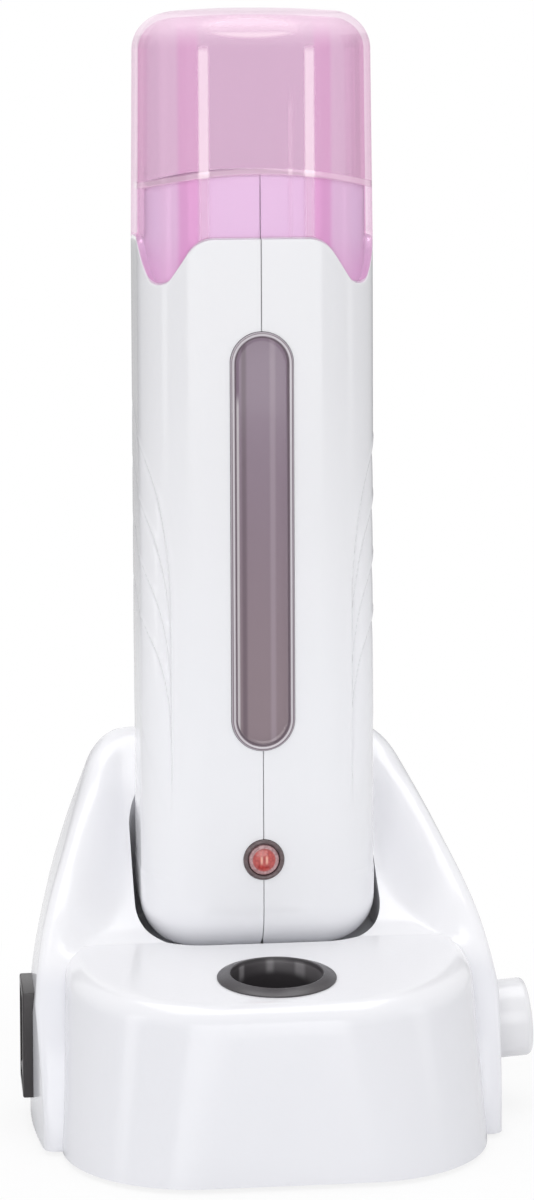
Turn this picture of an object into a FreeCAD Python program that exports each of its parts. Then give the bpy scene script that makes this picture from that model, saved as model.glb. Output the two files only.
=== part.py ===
"""Roll on wax heater standing in its docking base.

Millimetres.  The origin lies on the table plane under the heater's own axis:
+X to the heater's right seen from the front, +Y to the back, +Z up.
"""
import FreeCAD, Part
import math
import os
import re
import Sketcher

Vector = FreeCAD.Vector
X_AXIS = Vector(1, 0, 0)
Y_AXIS = Vector(0, 1, 0)
Z_AXIS = Vector(0, 0, 1)

SIZES = {
    # clearances
    "snug_gap": 0.1,             # between fixed pieces
    "seat_gap": 0.25,            # between pieces that lift apart
    "turn_gap": 0.08,            # radial, shaft in its bore
    # heater body
    "heater_width": 55.4,
    "heater_depth": 46.0,
    "heater_corner": 14.5,       # corner radius of the section
    "heater_foot_round": 11.0,   # rounding of the foot's edge
    "shell_wall": 1.8,
    "shoulder_top": 205.0,       # body edge under the arches of the cap
    "lobe_drop": 10.5,           # how far the cap's corners reach below its arches
    "front_arch_share": 0.195,   # half width of the arch's level stretch, as a share of the width
    "side_arch_share": 0.12,     # the same at the sides, as a share of the depth
    "arch_bend_share": 0.585,    # radius where the arch turns down, as a share of its fall's run
    "lobe_bend_share": 0.257,    # radius at the lobe's tip
    "neck_top": 220.0,
    "neck_dip": 3.4,             # how much lower the rim is at the sides
    "neck_wall": 1.2,
    # cap
    "cap_top": 258.2,
    "cap_wall": 1.6,
    "cap_round": 9.0,
    "cap_neck_gap": 0.3,
    # window
    "window_bottom": 86.3,
    "window_top": 183.8,
    "window_radius": 7.45,
    "window_rim": 1.25,
    "window_rim_proud": 0.5,
    "window_sunk": 0.6,          # pane below the body's front
    "lens_lip": 1.75,            # flange of the lens behind the wall
    "lens_lip_thick": 1.0,
    # cartridge chamber
    "chamber_side_room": 4.1,    # from the body's side to the chamber
    "chamber_back_room": 8.0,    # from the body's back to the chamber, for the heating parts
    "sleeve_front_gap": 0.2,     # between the window's flange and the sleeve
    "chamber_corner": 12.0,
    "chamber_bottom": 80.0,
    "sleeve_wall": 1.0,
    "sleeve_top": 189.0,
    "sleeve_slot": 10.4,         # width of the slot behind the window
    "floor_thick": 2.0,
    "floor_notch": 26.0,         # width of the wire passage in the floor
    "ledge_depth": 2.2,
    "collar_top": 216.0,
    # heating parts on the back of the sleeve
    "element_width": 24.0,
    "element_thick": 2.5,
    "element_bottom": 106.0,
    "element_height": 48.0,
    "clamp_sheet": 0.8,
    "clamp_height": 34.0,
    "thermostat_radius": 6.0,
    "thermostat_height": 168.0,
    "thermostat_thick": 4.2,
    "fuse_radius": 1.8,
    "fuse_length": 13.0,
    "fuse_height": 98.0,
    # pilot lamp
    "lamp_height": 60.8,
    "bezel_radius": 4.7,
    "bezel_wall": 1.0,
    "bezel_proud": 0.7,
    "bezel_lip": 1.0,
    "lamp_lens_proud": 0.9,
    "lamp_lens_length": 6.0,
    "lamp_radius": 2.6,
    "lamp_length": 10.0,
    # electrical socket in the foot
    "socket_width": 20.4,
    "socket_depth": 10.4,
    "socket_height": 10.0,
    "socket_wall": 1.8,
    "socket_roof": 4.0,
    "pin_radius": 1.2,
    "pin_spread": 5.0,
    "pin_tail": 4.0,
    # shell screws
    "shell_boss_radius": 3.0,
    "shell_screw_radius": 1.1,
    "shell_screw_head": 2.1,
    "shell_screw_rear_y": 14.0,
    "shell_screw_rear_rise": 25.8,   # above the heater's seat
    "shell_screw_front_y": 12.5,
    # base: overall form
    "foot_height": 1.0,          # the housing's edge above the table
    "base_wall": 2.2,
    "flank_half": 54.3,
    "flank_front": 45.0,         # front end of the flanks, before the axis
    "base_rear": 42.0,
    "deck_height": 41.2,         # deck just in front of the heater
    "deck_back": 28.0,           # where the deck turns up into the arms
    "deck_slope_deg": 3.25,
    "flank_nose_round": 12.0,
    "arm_top": 81.0,
    "arm_lean_deg": 23.5,
    "arm_lean_height": 38.9,     # where the lean line meets the flank's line
    "flank_round": 86.0,
    "arm_top_round": 6.0,
    # base: front block
    "block_half": 47.5,
    "block_front": 74.0,
    "block_corner": 28.5,
    "block_side_draft_deg": 5.0,
    "block_front_draft_deg": 7.6,
    "block_edge_round": 1.4,
    # dock pocket
    "seat_height": 38.2,
    "pocket_gap": 1.4,
    "pocket_edge_round": 0.8,
    # bottom plate, feet and screws
    "plate_thick": 3.0,
    "foot_radius": 6.0,
    "foot_sunk": 1.5,
    "foot_x": 30.0,
    "foot_front_y": 57.0,
    "foot_rear_y": 25.0,
    "boss_radius": 3.6,
    "boss_front_x": 36.0,
    "boss_front_y": 43.0,
    "boss_rear_x": 34.5,
    "boss_rear_y": 7.0,
    "boss_rear_top": 48.0,
    "screw_radius": 1.4,
    "screw_head": 2.9,
    "screw_head_thick": 1.5,
    "screw_length": 12.0,
    # tool well
    "well_y": 48.4,
    "well_radius": 10.25,
    "well_wall": 1.2,
    "well_flange": 13.5,
    "well_flange_thick": 1.3,
    "well_depth": 31.0,
    # mains switch on the left flank
    "switch_y": 18.0,
    "switch_z": 20.0,
    "switch_width": 17.3,
    "switch_height": 24.6,
    "switch_face": 56.4,
    "switch_seat": 53.2,
    "switch_back": 40.0,
    "switch_body_width": 16.0,
    "switch_body_height": 23.4,
    "rocker_pivot": 49.2,
    "rocker_width": 12.8,
    "rocker_half": 9.5,
    "rocker_low": 4.0,
    "rocker_high": 5.6,
    "rocker_inner": 3.5,
    "rocker_inner_half": 8.0,
    "rocker_tilt_deg": 9.6,
    "rocker_pin_radius": 1.2,
    "rocker_pin_length": 1.3,
    "switch_open_width": 13.6,
    "switch_open_height": 21.4,
    "switch_open_floor": 43.4,
    "blade_length": 8.0,
    "blade_width": 4.8,
    "blade_thick": 0.8,
    "blade_pitch": 7.0,
    # temperature knob on the right flank
    "knob_x": 54.1,
    "knob_y": 18.0,
    "knob_z": 19.6,
    "knob_tilt_deg": 4.0,
    "knob_radius": 9.0,
    "knob_foot": 0.6,
    "knob_end": 8.8,
    "knob_hollow_radius": 6.8,
    "knob_hollow_end": 3.4,
    "shaft_radius": 3.0,
    "shaft_end": 7.4,
    "shaft_start": 5.0,
    "bush_radius": 3.5,
    "bush_end": 3.0,
    "nut_flats": 10.0,
    "nut_seat": 0.3,
    "nut_thick": 2.2,
    "regulator_radius": 8.2,
    "regulator_face": 1.8,
    "regulator_thick": 8.0,
    # circuit board
    "board_width": 56.0,
    "board_depth": 34.0,
    "board_thick": 1.6,
    "board_y": 0.0,
    "standoff_height": 6.0,
    "standoff_radius": 2.6,
    "standoff_x": 24.5,
    "standoff_y": 13.5,
    "component_edge": 4.0,       # from the board's sides to its components
    "component_gap": 1.0,        # from the components to the contact tower
    "capacitor_depth": 7.0,
    "capacitor_height": 11.0,
    "relay_depth": 19.0,
    "relay_height": 15.0,
    "triac_width": 10.0,
    "triac_depth": 4.4,
    "triac_height": 9.0,
    "triac_tab_thick": 1.3,
    "triac_tab_height": 6.5,
    # dock contact tower
    "tower_flange": 2.0,
    "tower_reach": 9.8,          # of the tower above the heater's seat
    "sleeve_outer": 2.1,
    "sleeve_length": 20.0,
    # mains inlet in the back wall
    "inlet_width": 24.0,
    "inlet_height": 14.0,
    "inlet_length": 18.0,
    "inlet_cavity_depth": 11.0,
    "inlet_cavity_radius": 4.2,
    "inlet_cavity_spread": 4.3,
    "inlet_pin_radius": 1.15,
    "inlet_tail": 3.0,           # pins behind the inlet's block
    # leads
    "lead_radius": 0.9,
    "lead_bend": 1.6,
    "lead_hop": 8.0,             # rise of the lead that lands on the board
    "heater_lead_bend": 3.0,
    "heater_lead_start": 5.0,    # straight stretch above the socket's pins
    "heater_lead_climb": 14.0,   # where the leads reach the chamber's back, above the pins
}

doc = FreeCAD.newDocument("RollOnWaxHeater")
sheet = doc.addObject("Spreadsheet::Sheet", "Sizes")
for row, (alias, value) in enumerate(SIZES.items(), start=1):
    sheet.set("A%d" % row, alias.replace("_", " "))
    sheet.set("B%d" % row, str(value))
    sheet.setAlias("B%d" % row, alias)
doc.recompute()


class Sheet:
    """Reads a driving dimension from the spreadsheet by its alias."""

    def __getattr__(self, alias):
        return float(sheet.get(alias))


S = Sheet()


def linked(text):
    """Turn plain aliases in a formula into references to the sheet."""
    return re.sub(r"[a-z_]+[a-z]", lambda found: "Sizes." + found.group(0)
                  if found.group(0) in SIZES else found.group(0), text)


def worked_out(text):
    """Value of a formula of aliases, through an expression of the sheet's own document."""
    value = sheet.evalExpression(linked(text))
    return float(value)


def bind(item, **formulas):
    """Bind properties of an object to formulas of the sheet's aliases."""
    for name, text in formulas.items():
        item.setExpression(name.replace("__", "."), linked(text))


def place(item, x="0", y="0", z="0", rotation=None):
    """Put an object at a position bound to the sheet, turned by a fixed rotation."""
    if rotation is not None:
        item.Placement = FreeCAD.Placement(Vector(0, 0, 0), rotation)
    bind(item, Placement__Base__x=x, Placement__Base__y=y, Placement__Base__z=z)
    return item


def turn_to(direction):
    return FreeCAD.Rotation(Z_AXIS, direction)


# ---------------------------------------------------------------- parametric pieces

def box(name, low, size):
    """Box from its low corner and its size, each three formulas."""
    item = doc.addObject("Part::Box", name)
    bind(item, Length=size[0], Width=size[1], Height=size[2])
    return place(item, *low)


def rod(name, start, radius, length, direction=Z_AXIS):
    """Cylinder from the centre of its first face along a direction."""
    item = doc.addObject("Part::Cylinder", name)
    bind(item, Radius=radius, Height=length)
    return place(item, *start, rotation=turn_to(direction))


def fused(name, pieces):
    item = doc.addObject("Part::MultiFuse", name)
    item.Shapes = pieces
    return item


def carved(name, body, tools):
    item = doc.addObject("Part::Cut", name)
    item.Base = body
    item.Tool = tools[0] if len(tools) == 1 else fused(name + "_tools", tools)
    return item


def grouped(name, pieces):
    """Several separate solids of one kind."""
    item = doc.addObject("Part::Compound", name)
    item.Links = pieces
    return item


def origin_plane(body, role):
    return [item for item in body.Origin.OriginFeatures if item.Role == role][0]


def new_sketch(body, name, role):
    sketch = body.newObject("Sketcher::SketchObject", name)
    sketch.AttachmentSupport = [(origin_plane(body, role), "")]
    sketch.MapMode = "FlatFace"
    return sketch


def draw_polygon(sketch, corners):
    """Closed polygon whose corners are bound to pairs of formulas."""
    points = [Vector(worked_out(across), worked_out(up), 0) for across, up in corners]
    first = len(sketch.Geometry)
    count = len(points)
    for index, point in enumerate(points):
        sketch.addGeometry(Part.LineSegment(point, points[(index + 1) % count]), False)
    for index in range(count):
        following = first + (index + 1) % count
        sketch.addConstraint(Sketcher.Constraint("Coincident", first + index, 2, following, 1))
    for index, (across, up) in enumerate(corners):
        for kind, text, value in (("DistanceX", across, points[index].x), ("DistanceY", up, points[index].y)):
            number = sketch.addConstraint(Sketcher.Constraint(kind, -1, 1, first + index, 1, value))
            sketch.setExpression("Constraints[%d]" % number, linked(text))


def turned(name, profile):
    """Body turned about its own Z axis from a closed profile of (radius, height) formulas."""
    body = doc.addObject("PartDesign::Body", name)
    sketch = new_sketch(body, name + "_profile", "XZ_Plane")
    draw_polygon(sketch, profile)
    feature = body.newObject("PartDesign::Revolution", name + "_turn")
    feature.Profile = sketch
    feature.ReferenceAxis = (sketch, ["V_Axis"])
    feature.Angle = 360
    return body


def plate(name, corners, thickness, role="XY_Plane"):
    """Body padded from a closed polygon of formulas, towards the plane's own normal."""
    body = doc.addObject("PartDesign::Body", name)
    sketch = new_sketch(body, name + "_outline", role)
    draw_polygon(sketch, corners)
    feature = body.newObject("PartDesign::Pad", name + "_pad")
    feature.Profile = sketch
    bind(feature, Length=thickness)
    return body


def draw_rounded_rectangle(sketch, width, depth, corner):
    """Rectangle centred on the sketch's origin with four equal round corners."""
    half_width = worked_out(width) / 2
    half_depth = worked_out(depth) / 2
    radius = worked_out(corner)
    flat_x = half_width - radius
    flat_y = half_depth - radius
    first = len(sketch.Geometry)
    corners = ((flat_x, -flat_y, 270), (flat_x, flat_y, 0), (-flat_x, flat_y, 90), (-flat_x, -flat_y, 180))
    sides = (
        ((-flat_x, -half_depth), (flat_x, -half_depth)),
        ((half_width, -flat_y), (half_width, flat_y)),
        ((flat_x, half_depth), (-flat_x, half_depth)),
        ((-half_width, flat_y), (-half_width, -flat_y)),
    )
    for (start, end), (centre_x, centre_y, angle) in zip(sides, corners):
        line = Part.LineSegment(Vector(start[0], start[1], 0), Vector(end[0], end[1], 0))
        circle = Part.Circle(Vector(centre_x, centre_y, 0), Z_AXIS, radius)
        sketch.addGeometry(line, False)
        sketch.addGeometry(Part.ArcOfCircle(circle, math.radians(angle), math.radians(angle + 90)), False)
    for side in range(4):
        line = first + 2 * side
        arc = line + 1
        following = first + (2 * side + 2) % 8
        sketch.addConstraint(Sketcher.Constraint("Tangent", line, 2, arc, 1))
        sketch.addConstraint(Sketcher.Constraint("Tangent", arc, 2, following, 1))
        sketch.addConstraint(Sketcher.Constraint("Horizontal" if side % 2 == 0 else "Vertical", line))
        if side:
            sketch.addConstraint(Sketcher.Constraint("Equal", first + 1, arc))
    bound = (
        ("Radius", (first + 1,), radius, corner),
        ("DistanceX", (-1, 1, first + 2, 1), half_width, "(%s) / 2" % width),
        ("DistanceX", (-1, 1, first + 6, 1), -half_width, "-(%s) / 2" % width),
        ("DistanceY", (-1, 1, first + 4, 1), half_depth, "(%s) / 2" % depth),
        ("DistanceY", (-1, 1, first, 1), -half_depth, "-(%s) / 2" % depth),
    )
    for kind, places, value, text in bound:
        number = sketch.addConstraint(Sketcher.Constraint(kind, *places, value))
        sketch.setExpression("Constraints[%d]" % number, linked(text))


def rounded_tube(name, outer, inner, height):
    """Body padded from one rounded rectangle with another one as its hole."""
    body = doc.addObject("PartDesign::Body", name)
    sketch = new_sketch(body, name + "_section", "XY_Plane")
    draw_rounded_rectangle(sketch, *outer)
    if inner is not None:
        draw_rounded_rectangle(sketch, *inner)
    feature = body.newObject("PartDesign::Pad", name + "_pad")
    feature.Profile = sketch
    bind(feature, Length=height)
    return body


# ---------------------------------------------------------------- free-form shells

def feature(name, shape):
    """Piece whose shape is made directly from the sheet's values."""
    item = doc.addObject("Part::Feature", name)
    item.Shape = shape
    item.Placement = FreeCAD.Placement()
    return item


def rounded_outline(corners, place_point):
    """Closed wire through corners (a, b, radius); place_point maps (a, b) into space."""
    count = len(corners)
    stretches = []
    for index, (a, b, radius) in enumerate(corners):
        here = Vector(a, b, 0)
        before = Vector(*corners[index - 1][:2], 0) - here
        after = Vector(*corners[(index + 1) % count][:2], 0) - here
        if radius <= 0:
            stretches.append((here, None, here))
            continue
        before.normalize()
        after.normalize()
        half_angle = before.getAngle(after) / 2
        reach = radius / math.tan(half_angle)
        bisector = (before + after).normalize()
        middle = here + bisector * (radius / math.sin(half_angle) - radius)
        stretches.append((here + before * reach, middle, here + after * reach))
    edges = []
    for index, (start, middle, end) in enumerate(stretches):
        if middle is not None:
            edges.append(Part.Arc(*[place_point(p.x, p.y) for p in (start, middle, end)]).toShape())
        following = stretches[(index + 1) % count][0]
        if end.distanceToPoint(following) > 1e-6:
            straight = Part.LineSegment(place_point(end.x, end.y), place_point(following.x, following.y))
            edges.append(straight.toShape())
    return Part.Wire(edges)


def section(width, depth, corner, height):
    """Rounded rectangle about the Z axis at a height."""
    half_width = width / 2
    half_depth = depth / 2
    corners = [(half_width, -half_depth, corner), (half_width, half_depth, corner),
               (-half_width, half_depth, corner), (-half_width, -half_depth, corner)]
    return rounded_outline(corners, lambda a, b: Vector(a, b, height))


def column(width, depth, corner, bottom, top):
    """Upright solid of the rounded section."""
    return Part.Face(section(width, depth, corner, bottom)).extrude(Vector(0, 0, top - bottom))


def edges_at_height(solid, height):
    """Edges that lie wholly in one level plane."""
    return [edge for edge in solid.Edges
            if abs(edge.BoundBox.ZMin - height) < 1e-4 and abs(edge.BoundBox.ZMax - height) < 1e-4]


def heater_column(inset, bottom, top, foot_round):
    """The heater's body form, inset from its surface, with its foot's edge rounded."""
    corner = S.heater_corner - inset
    solid = column(S.heater_width - 2 * inset, S.heater_depth - 2 * inset, corner, bottom, top)
    if foot_round > 0:
        solid = solid.makeFillet(foot_round, edges_at_height(solid, bottom))
    return solid


def block_between(low, high):
    """Plain box between two corners."""
    size = [high[axis] - low[axis] for axis in range(3)]
    return Part.makeBox(size[0], size[1], size[2], Vector(*low))


def shoulder_line(flat_half, reach, lift, place_point):
    """Face under the wavy edge: level arch, bend, straight, bend, level lobe on each side."""
    run = reach - flat_half
    arch_bend = S.arch_bend_share * run
    lobe_bend = S.lobe_bend_share * run
    bend_sum = arch_bend + lobe_bend
    slack = bend_sum - S.lobe_drop
    slope = math.asin(bend_sum / math.hypot(run, slack)) - math.atan2(slack, run)
    top = S.shoulder_top + lift
    low = top - S.lobe_drop
    far = reach + S.heater_width
    first_end = (flat_half + arch_bend * math.sin(slope), top - arch_bend * (1 - math.cos(slope)))
    last_start = (reach - lobe_bend * math.sin(slope), low + lobe_bend * (1 - math.cos(slope)))
    half_sine = math.sin(slope / 2)
    half_rise = 1 - math.cos(slope / 2)
    first_middle = (flat_half + arch_bend * half_sine, top - arch_bend * half_rise)
    last_middle = (reach - lobe_bend * half_sine, low + lobe_bend * half_rise)

    def at(point, side):
        return place_point(side * point[0], point[1])

    edges = [Part.LineSegment(at((flat_half, top), -1), at((flat_half, top), 1)).toShape()]
    for side in (-1, 1):
        arch = Part.Arc(at((flat_half, top), side), at(first_middle, side), at(first_end, side))
        lobe = Part.Arc(at(last_start, side), at(last_middle, side), at((reach, low), side))
        edges.append(arch.toShape())
        edges.append(Part.LineSegment(at(first_end, side), at(last_start, side)).toShape())
        edges.append(lobe.toShape())
        edges.append(Part.LineSegment(at((reach, low), side), at((far, low), side)).toShape())
        edges.append(Part.LineSegment(at((far, low), side), at((far, 0), side)).toShape())
    edges.append(Part.LineSegment(at((far, 0), -1), at((far, 0), 1)).toShape())
    return Part.Face(Part.Wire(Part.sortEdges(edges)[0]))


def below_shoulder(lift):
    """Everything under the wavy edge, raised by lift."""
    diagonal = S.heater_corner * (1 - math.sqrt(0.5))
    reach_x = S.heater_width / 2 - diagonal
    reach_y = S.heater_depth / 2 - diagonal
    long_way = 4 * S.heater_width
    front_flat = S.front_arch_share * S.heater_width
    side_flat = S.side_arch_share * S.heater_depth
    front = shoulder_line(front_flat, reach_x, lift, lambda a, b: Vector(a, -long_way / 2, b))
    side = shoulder_line(side_flat, reach_y, lift, lambda a, b: Vector(-long_way / 2, a, b))
    return front.extrude(Vector(0, long_way, 0)).fuse(side.extrude(Vector(long_way, 0, 0)))


def neck_inset():
    return S.cap_wall + S.cap_neck_gap


STADIUM_FLAT = 1e-3    # level stretch at each end of a stadium


def stadium(radius, low, high, y_front, y_back):
    """Upright stadium-shaped plug through the front wall, from y_front to y_back."""
    half = radius + STADIUM_FLAT
    corners = [(-half, low, radius), (half, low, radius), (half, high, radius), (-half, high, radius)]
    wire = rounded_outline(corners, lambda a, b: Vector(a, y_front, b))
    return Part.Face(wire).extrude(Vector(0, y_back - y_front, 0))


def front_face():
    return -S.heater_depth / 2


def front_inner():
    """Inner face of the body's front wall."""
    return front_face() + S.shell_wall


def shell_bosses():
    """Centres of the two screws that pull the halves together, as (y, z)."""
    under_floor = S.chamber_bottom - S.floor_thick - S.shell_boss_radius - S.seat_gap
    above_seat = S.seat_height + S.shell_screw_rear_rise
    return ((S.shell_screw_rear_y, above_seat), (-S.shell_screw_front_y, under_floor))


def heater_shell():
    """Both half shells as one hollow body, before it is parted along the middle."""
    inset = neck_inset()
    neck_corner = S.heater_corner - inset
    neck_width = S.heater_width - 2 * inset
    neck_depth = S.heater_depth - 2 * inset
    outer = heater_column(0, S.seat_height, S.shoulder_top + 1, S.heater_foot_round)
    outer = outer.common(below_shoulder(0))
    root = S.shoulder_top - S.lobe_drop - 2 * S.shell_wall
    neck = column(neck_width, neck_depth, neck_corner, root, S.neck_top)
    dip_radius = ((neck_width / 2) ** 2 + S.neck_dip ** 2) / (2 * S.neck_dip)
    crown = Part.makeCylinder(dip_radius, 2 * S.heater_depth,
                              Vector(0, -S.heater_depth, S.neck_top - dip_radius), Y_AXIS)
    neck = neck.common(crown)
    cavity = heater_column(S.shell_wall, S.seat_height + S.shell_wall, root,
                           S.heater_foot_round - S.shell_wall)
    bore = column(neck_width - 2 * S.neck_wall, neck_depth - 2 * S.neck_wall, neck_corner - S.neck_wall,
                  root - 1, S.neck_top + 1)
    body = outer.fuse(neck).cut(cavity.fuse(bore))
    return body.fuse(shell_inner_ribs()).cut(shell_openings())


def shell_inner_ribs():
    """Ledges under the chamber floor and bosses of the shell screws, trimmed to the body's form."""
    limit = heater_column(S.shell_wall / 2, S.seat_height, S.shoulder_top - S.lobe_drop, 0)
    inner = S.heater_width / 2 - S.shell_wall
    ledge_top = S.chamber_bottom - S.floor_thick
    ribs = []
    for side in (-1, 1):
        ledge = block_between((inner - S.ledge_depth, -S.heater_corner / 2, ledge_top - S.ledge_depth),
                              (inner + S.shell_wall / 2, S.heater_corner / 2, ledge_top))
        ribs.append(ledge if side > 0 else ledge.mirror(Vector(0, 0, 0), X_AXIS))
    for y, z in shell_bosses():
        ribs.append(Part.makeCylinder(S.shell_boss_radius, S.heater_width,
                                      Vector(-S.heater_width / 2, y, z), X_AXIS))
    return ribs[0].multiFuse(ribs[1:]).common(limit)


def shell_openings():
    """Window, lamp hole, socket opening and screw holes."""
    outside = front_face() - 1
    tools = [
        stadium(S.window_radius, S.window_bottom, S.window_top, outside, front_inner() + 1),
        Part.makeCylinder(S.bezel_radius + S.snug_gap, S.shell_wall + 2,
                          Vector(0, outside, S.lamp_height), Y_AXIS),
        block_between((-S.socket_width / 2, -S.socket_depth / 2, S.seat_height - 1),
                      (S.socket_width / 2, S.socket_depth / 2, S.seat_height + S.shell_wall + 1)),
    ]
    head_seat = S.heater_width / 4
    for y, z in shell_bosses():
        tools.append(Part.makeCylinder(S.shell_screw_radius + S.snug_gap / 2, head_seat + S.heater_width / 4,
                                       Vector(-S.heater_width / 4, y, z), X_AXIS))
        tools.append(Part.makeCylinder(S.shell_screw_head + S.snug_gap, S.heater_width,
                                       Vector(head_seat, y, z), X_AXIS))
    return tools[0].multiFuse(tools[1:])


def make_half_shells():
    """The body parted along the plane through its axis."""
    whole = heater_shell()
    big = 2 * S.neck_top
    for name, low, high in (("left_shell", -big, 0), ("right_shell", 0, big)):
        half_space = block_between((low, -big, -big), (high, big, big))
        feature(name, whole.common(half_space))


def make_shell_screws():
    """Screws along X: head in the right shell, thread in the left one."""
    screws = []
    head_thick = S.shell_screw_head
    seat = S.heater_width / 4
    for y, z in shell_bosses():
        head = Part.makeCylinder(S.shell_screw_head, head_thick, Vector(seat, y, z), X_AXIS)
        shank = Part.makeCylinder(S.shell_screw_radius, 2 * seat - 1, Vector(1 - seat, y, z), X_AXIS)
        screws.append(head.fuse(shank))
    feature("shell_screws", Part.makeCompound(screws))


def make_cap():
    """Clear cup whose wavy edge meets the body's shoulder."""
    low = S.shoulder_top - S.lobe_drop - 1
    outer = column(S.heater_width, S.heater_depth, S.heater_corner, low, S.cap_top)
    outer = outer.makeFillet(S.cap_round, edges_at_height(outer, S.cap_top))
    wall = S.cap_wall
    inner = column(S.heater_width - 2 * wall, S.heater_depth - 2 * wall, S.heater_corner - wall,
                   low - 1, S.cap_top - wall)
    inner = inner.makeFillet(S.cap_round - wall, edges_at_height(inner, S.cap_top - wall))
    feature("cap", outer.cut(inner).cut(below_shoulder(S.seat_gap)))


def make_window_lens():
    """Smoky pane with a raised rim outside and a flange behind the wall."""
    radius = S.window_radius - S.snug_gap
    gap = S.snug_gap
    proud = front_face() - S.window_rim_proud
    plug = stadium(radius, S.window_bottom + gap, S.window_top - gap, proud, front_inner())
    lip = S.lens_lip
    flange = stadium(radius + lip, S.window_bottom + gap - lip, S.window_top - gap + lip,
                     front_inner(), front_inner() + S.lens_lip_thick)
    rim = S.window_rim
    recess = stadium(radius - rim, S.window_bottom + gap + rim, S.window_top - gap - rim,
                     proud - 1, front_face() + S.window_sunk)
    feature("window_lens", plug.fuse(flange).cut(recess))


# ---------------------------------------------------------------- base

def rear_plan(inset):
    """Egg-shaped plan of the rear part: flat front ends, bulging flanks, round back."""
    half = S.flank_half - inset
    front = -S.flank_front + inset
    widest = -S.flank_front / 2
    depth = S.base_rear - inset - widest
    outline = ((0.976, 0.27), (0.925, 0.51), (0.82, 0.72), (0.58, 0.89))
    side = [(half * 0.958, front), (half, widest)]
    side += [(half * across, widest + depth * along) for across, along in outline]
    points = [Vector(x, y, 0) for x, y in side] + [Vector(0, widest + depth, 0)]
    points += [Vector(-x, y, 0) for x, y in reversed(side)]
    curve = Part.BSplineCurve()
    curve.interpolate(points)
    closing = Part.LineSegment(points[-1], points[0])
    return Part.Face(Part.Wire([curve.toShape(), closing.toShape()]))


def front_profile(inset):
    """Width against height: upright flanks, a long bend, then arms that lean in."""
    lean = math.radians(S.arm_lean_deg)
    half = S.flank_half - inset
    top = S.arm_top - inset

    def lean_x(height):
        return S.flank_half - inset / math.cos(lean) - (height - S.arm_lean_height) * math.tan(lean)

    bend_height = S.arm_lean_height - inset * (1 / math.cos(lean) - 1) / math.tan(lean)
    bend = S.flank_round - inset
    tip = max(S.arm_top_round - inset, 1.0)
    low = -2 * S.foot_height
    corners = [(half, low, 0), (half, bend_height, bend), (lean_x(top), top, tip),
               (-lean_x(top), top, tip), (-half, bend_height, bend), (-half, low, 0)]
    front = -2 * S.flank_front
    face = Part.Face(rounded_outline(corners, lambda a, b: Vector(a, front, b)))
    return face.extrude(Vector(0, 4 * S.flank_front, 0))


def deck_z(y):
    """Height of the sloping deck at a place y."""
    return S.deck_height + (y + S.deck_back) * math.tan(math.radians(S.deck_slope_deg))


def arm_curve(inset):
    """Side view of the arms' top: from the deck's back, rising ever steeper, to the crest."""
    rise = S.arm_top - S.deck_height
    run = S.base_rear - S.deck_back / 3.8 + S.deck_back
    shape = ((0.0, 0.0), (0.16, 0.087), (0.37, 0.285), (0.61, 0.565), (0.80, 0.81), (0.91, 0.94), (1.0, 1.0))
    points = [Vector(0, -S.deck_back + run * along, S.deck_height + rise * up) for along, up in shape]
    curve = Part.BSplineCurve()
    slope = math.radians(S.deck_slope_deg)
    curve.interpolate(Points=points, InitialTangent=Vector(0, math.cos(slope), math.sin(slope)) * run,
                      FinalTangent=Vector(0, 1, 0) * run * 0.6)
    if inset <= 0:
        return curve, points[0], points[-1]
    moved = []
    for point in points:
        tangent = curve.tangent(curve.parameter(point))[0]
        moved.append(point + Vector(0, tangent.z, -tangent.y) * inset)
    inner = Part.BSplineCurve()
    inner.interpolate(Points=moved)
    return inner, moved[0], moved[-1]


def side_profile(inset):
    """Depth against height of the rear part: nose, deck, arms, crest and back."""
    curve, start, end = arm_curve(inset)
    front = -S.flank_front + inset
    low = -2 * S.foot_height
    nose = S.flank_nose_round - inset
    slope = math.radians(S.deck_slope_deg)
    deck_start_y = front + nose
    deck_start = Vector(0, deck_start_y, start.z + (deck_start_y - start.y) * math.tan(slope))
    nose_low = Vector(0, front, deck_start.z - nose)
    nose_middle = Vector(0, front + nose * (1 - math.sqrt(0.5)), deck_start.z - nose * (1 - math.sqrt(0.5)))
    back = S.base_rear - inset
    crest = back - end.y
    crest_middle = Vector(0, end.y + crest * math.sqrt(0.5), end.z - crest * (1 - math.sqrt(0.5)))
    back_high = Vector(0, back, end.z - crest)
    corners = [Vector(0, back, low), Vector(0, front, low)]
    edges = [
        Part.LineSegment(corners[1], nose_low).toShape(),
        Part.Arc(nose_low, nose_middle, deck_start).toShape(),
        Part.LineSegment(deck_start, start).toShape(),
        curve.toShape(),
        Part.Arc(end, crest_middle, back_high).toShape(),
        Part.LineSegment(back_high, corners[0]).toShape(),
        Part.LineSegment(corners[0], corners[1]).toShape(),
    ]
    face = Part.Face(Part.Wire(edges))
    face.translate(Vector(-2 * S.flank_half, 0, 0))
    return face.extrude(Vector(4 * S.flank_half, 0, 0))


def face_normals(solid, edge):
    """Middle of an edge and the normals of the two faces that meet there."""
    middle = edge.valueAt((edge.FirstParameter + edge.LastParameter) / 2)
    normals = []
    for face in solid.ancestorsOfType(edge, Part.Face):
        normals.append(face.normalAt(*face.Surface.parameter(middle)))
    return middle, normals


def pocket_rim(solid):
    """Edges where the dock pocket's walls break through the deck and the arms."""
    half_width = S.heater_width / 2 + S.pocket_gap + 0.01
    half_depth = S.heater_depth / 2 + S.pocket_gap + 0.01
    rim = []
    for edge in solid.Edges:
        middle, normals = face_normals(solid, edge)
        if len(normals) != 2 or middle.z < S.seat_height + 1:
            continue
        if abs(middle.x) > half_width or abs(middle.y) > half_depth:
            continue
        upright = [abs(normal.z) < 0.02 for normal in normals]
        if upright[0] != upright[1]:
            rim.append(edge)
    return rim


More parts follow.
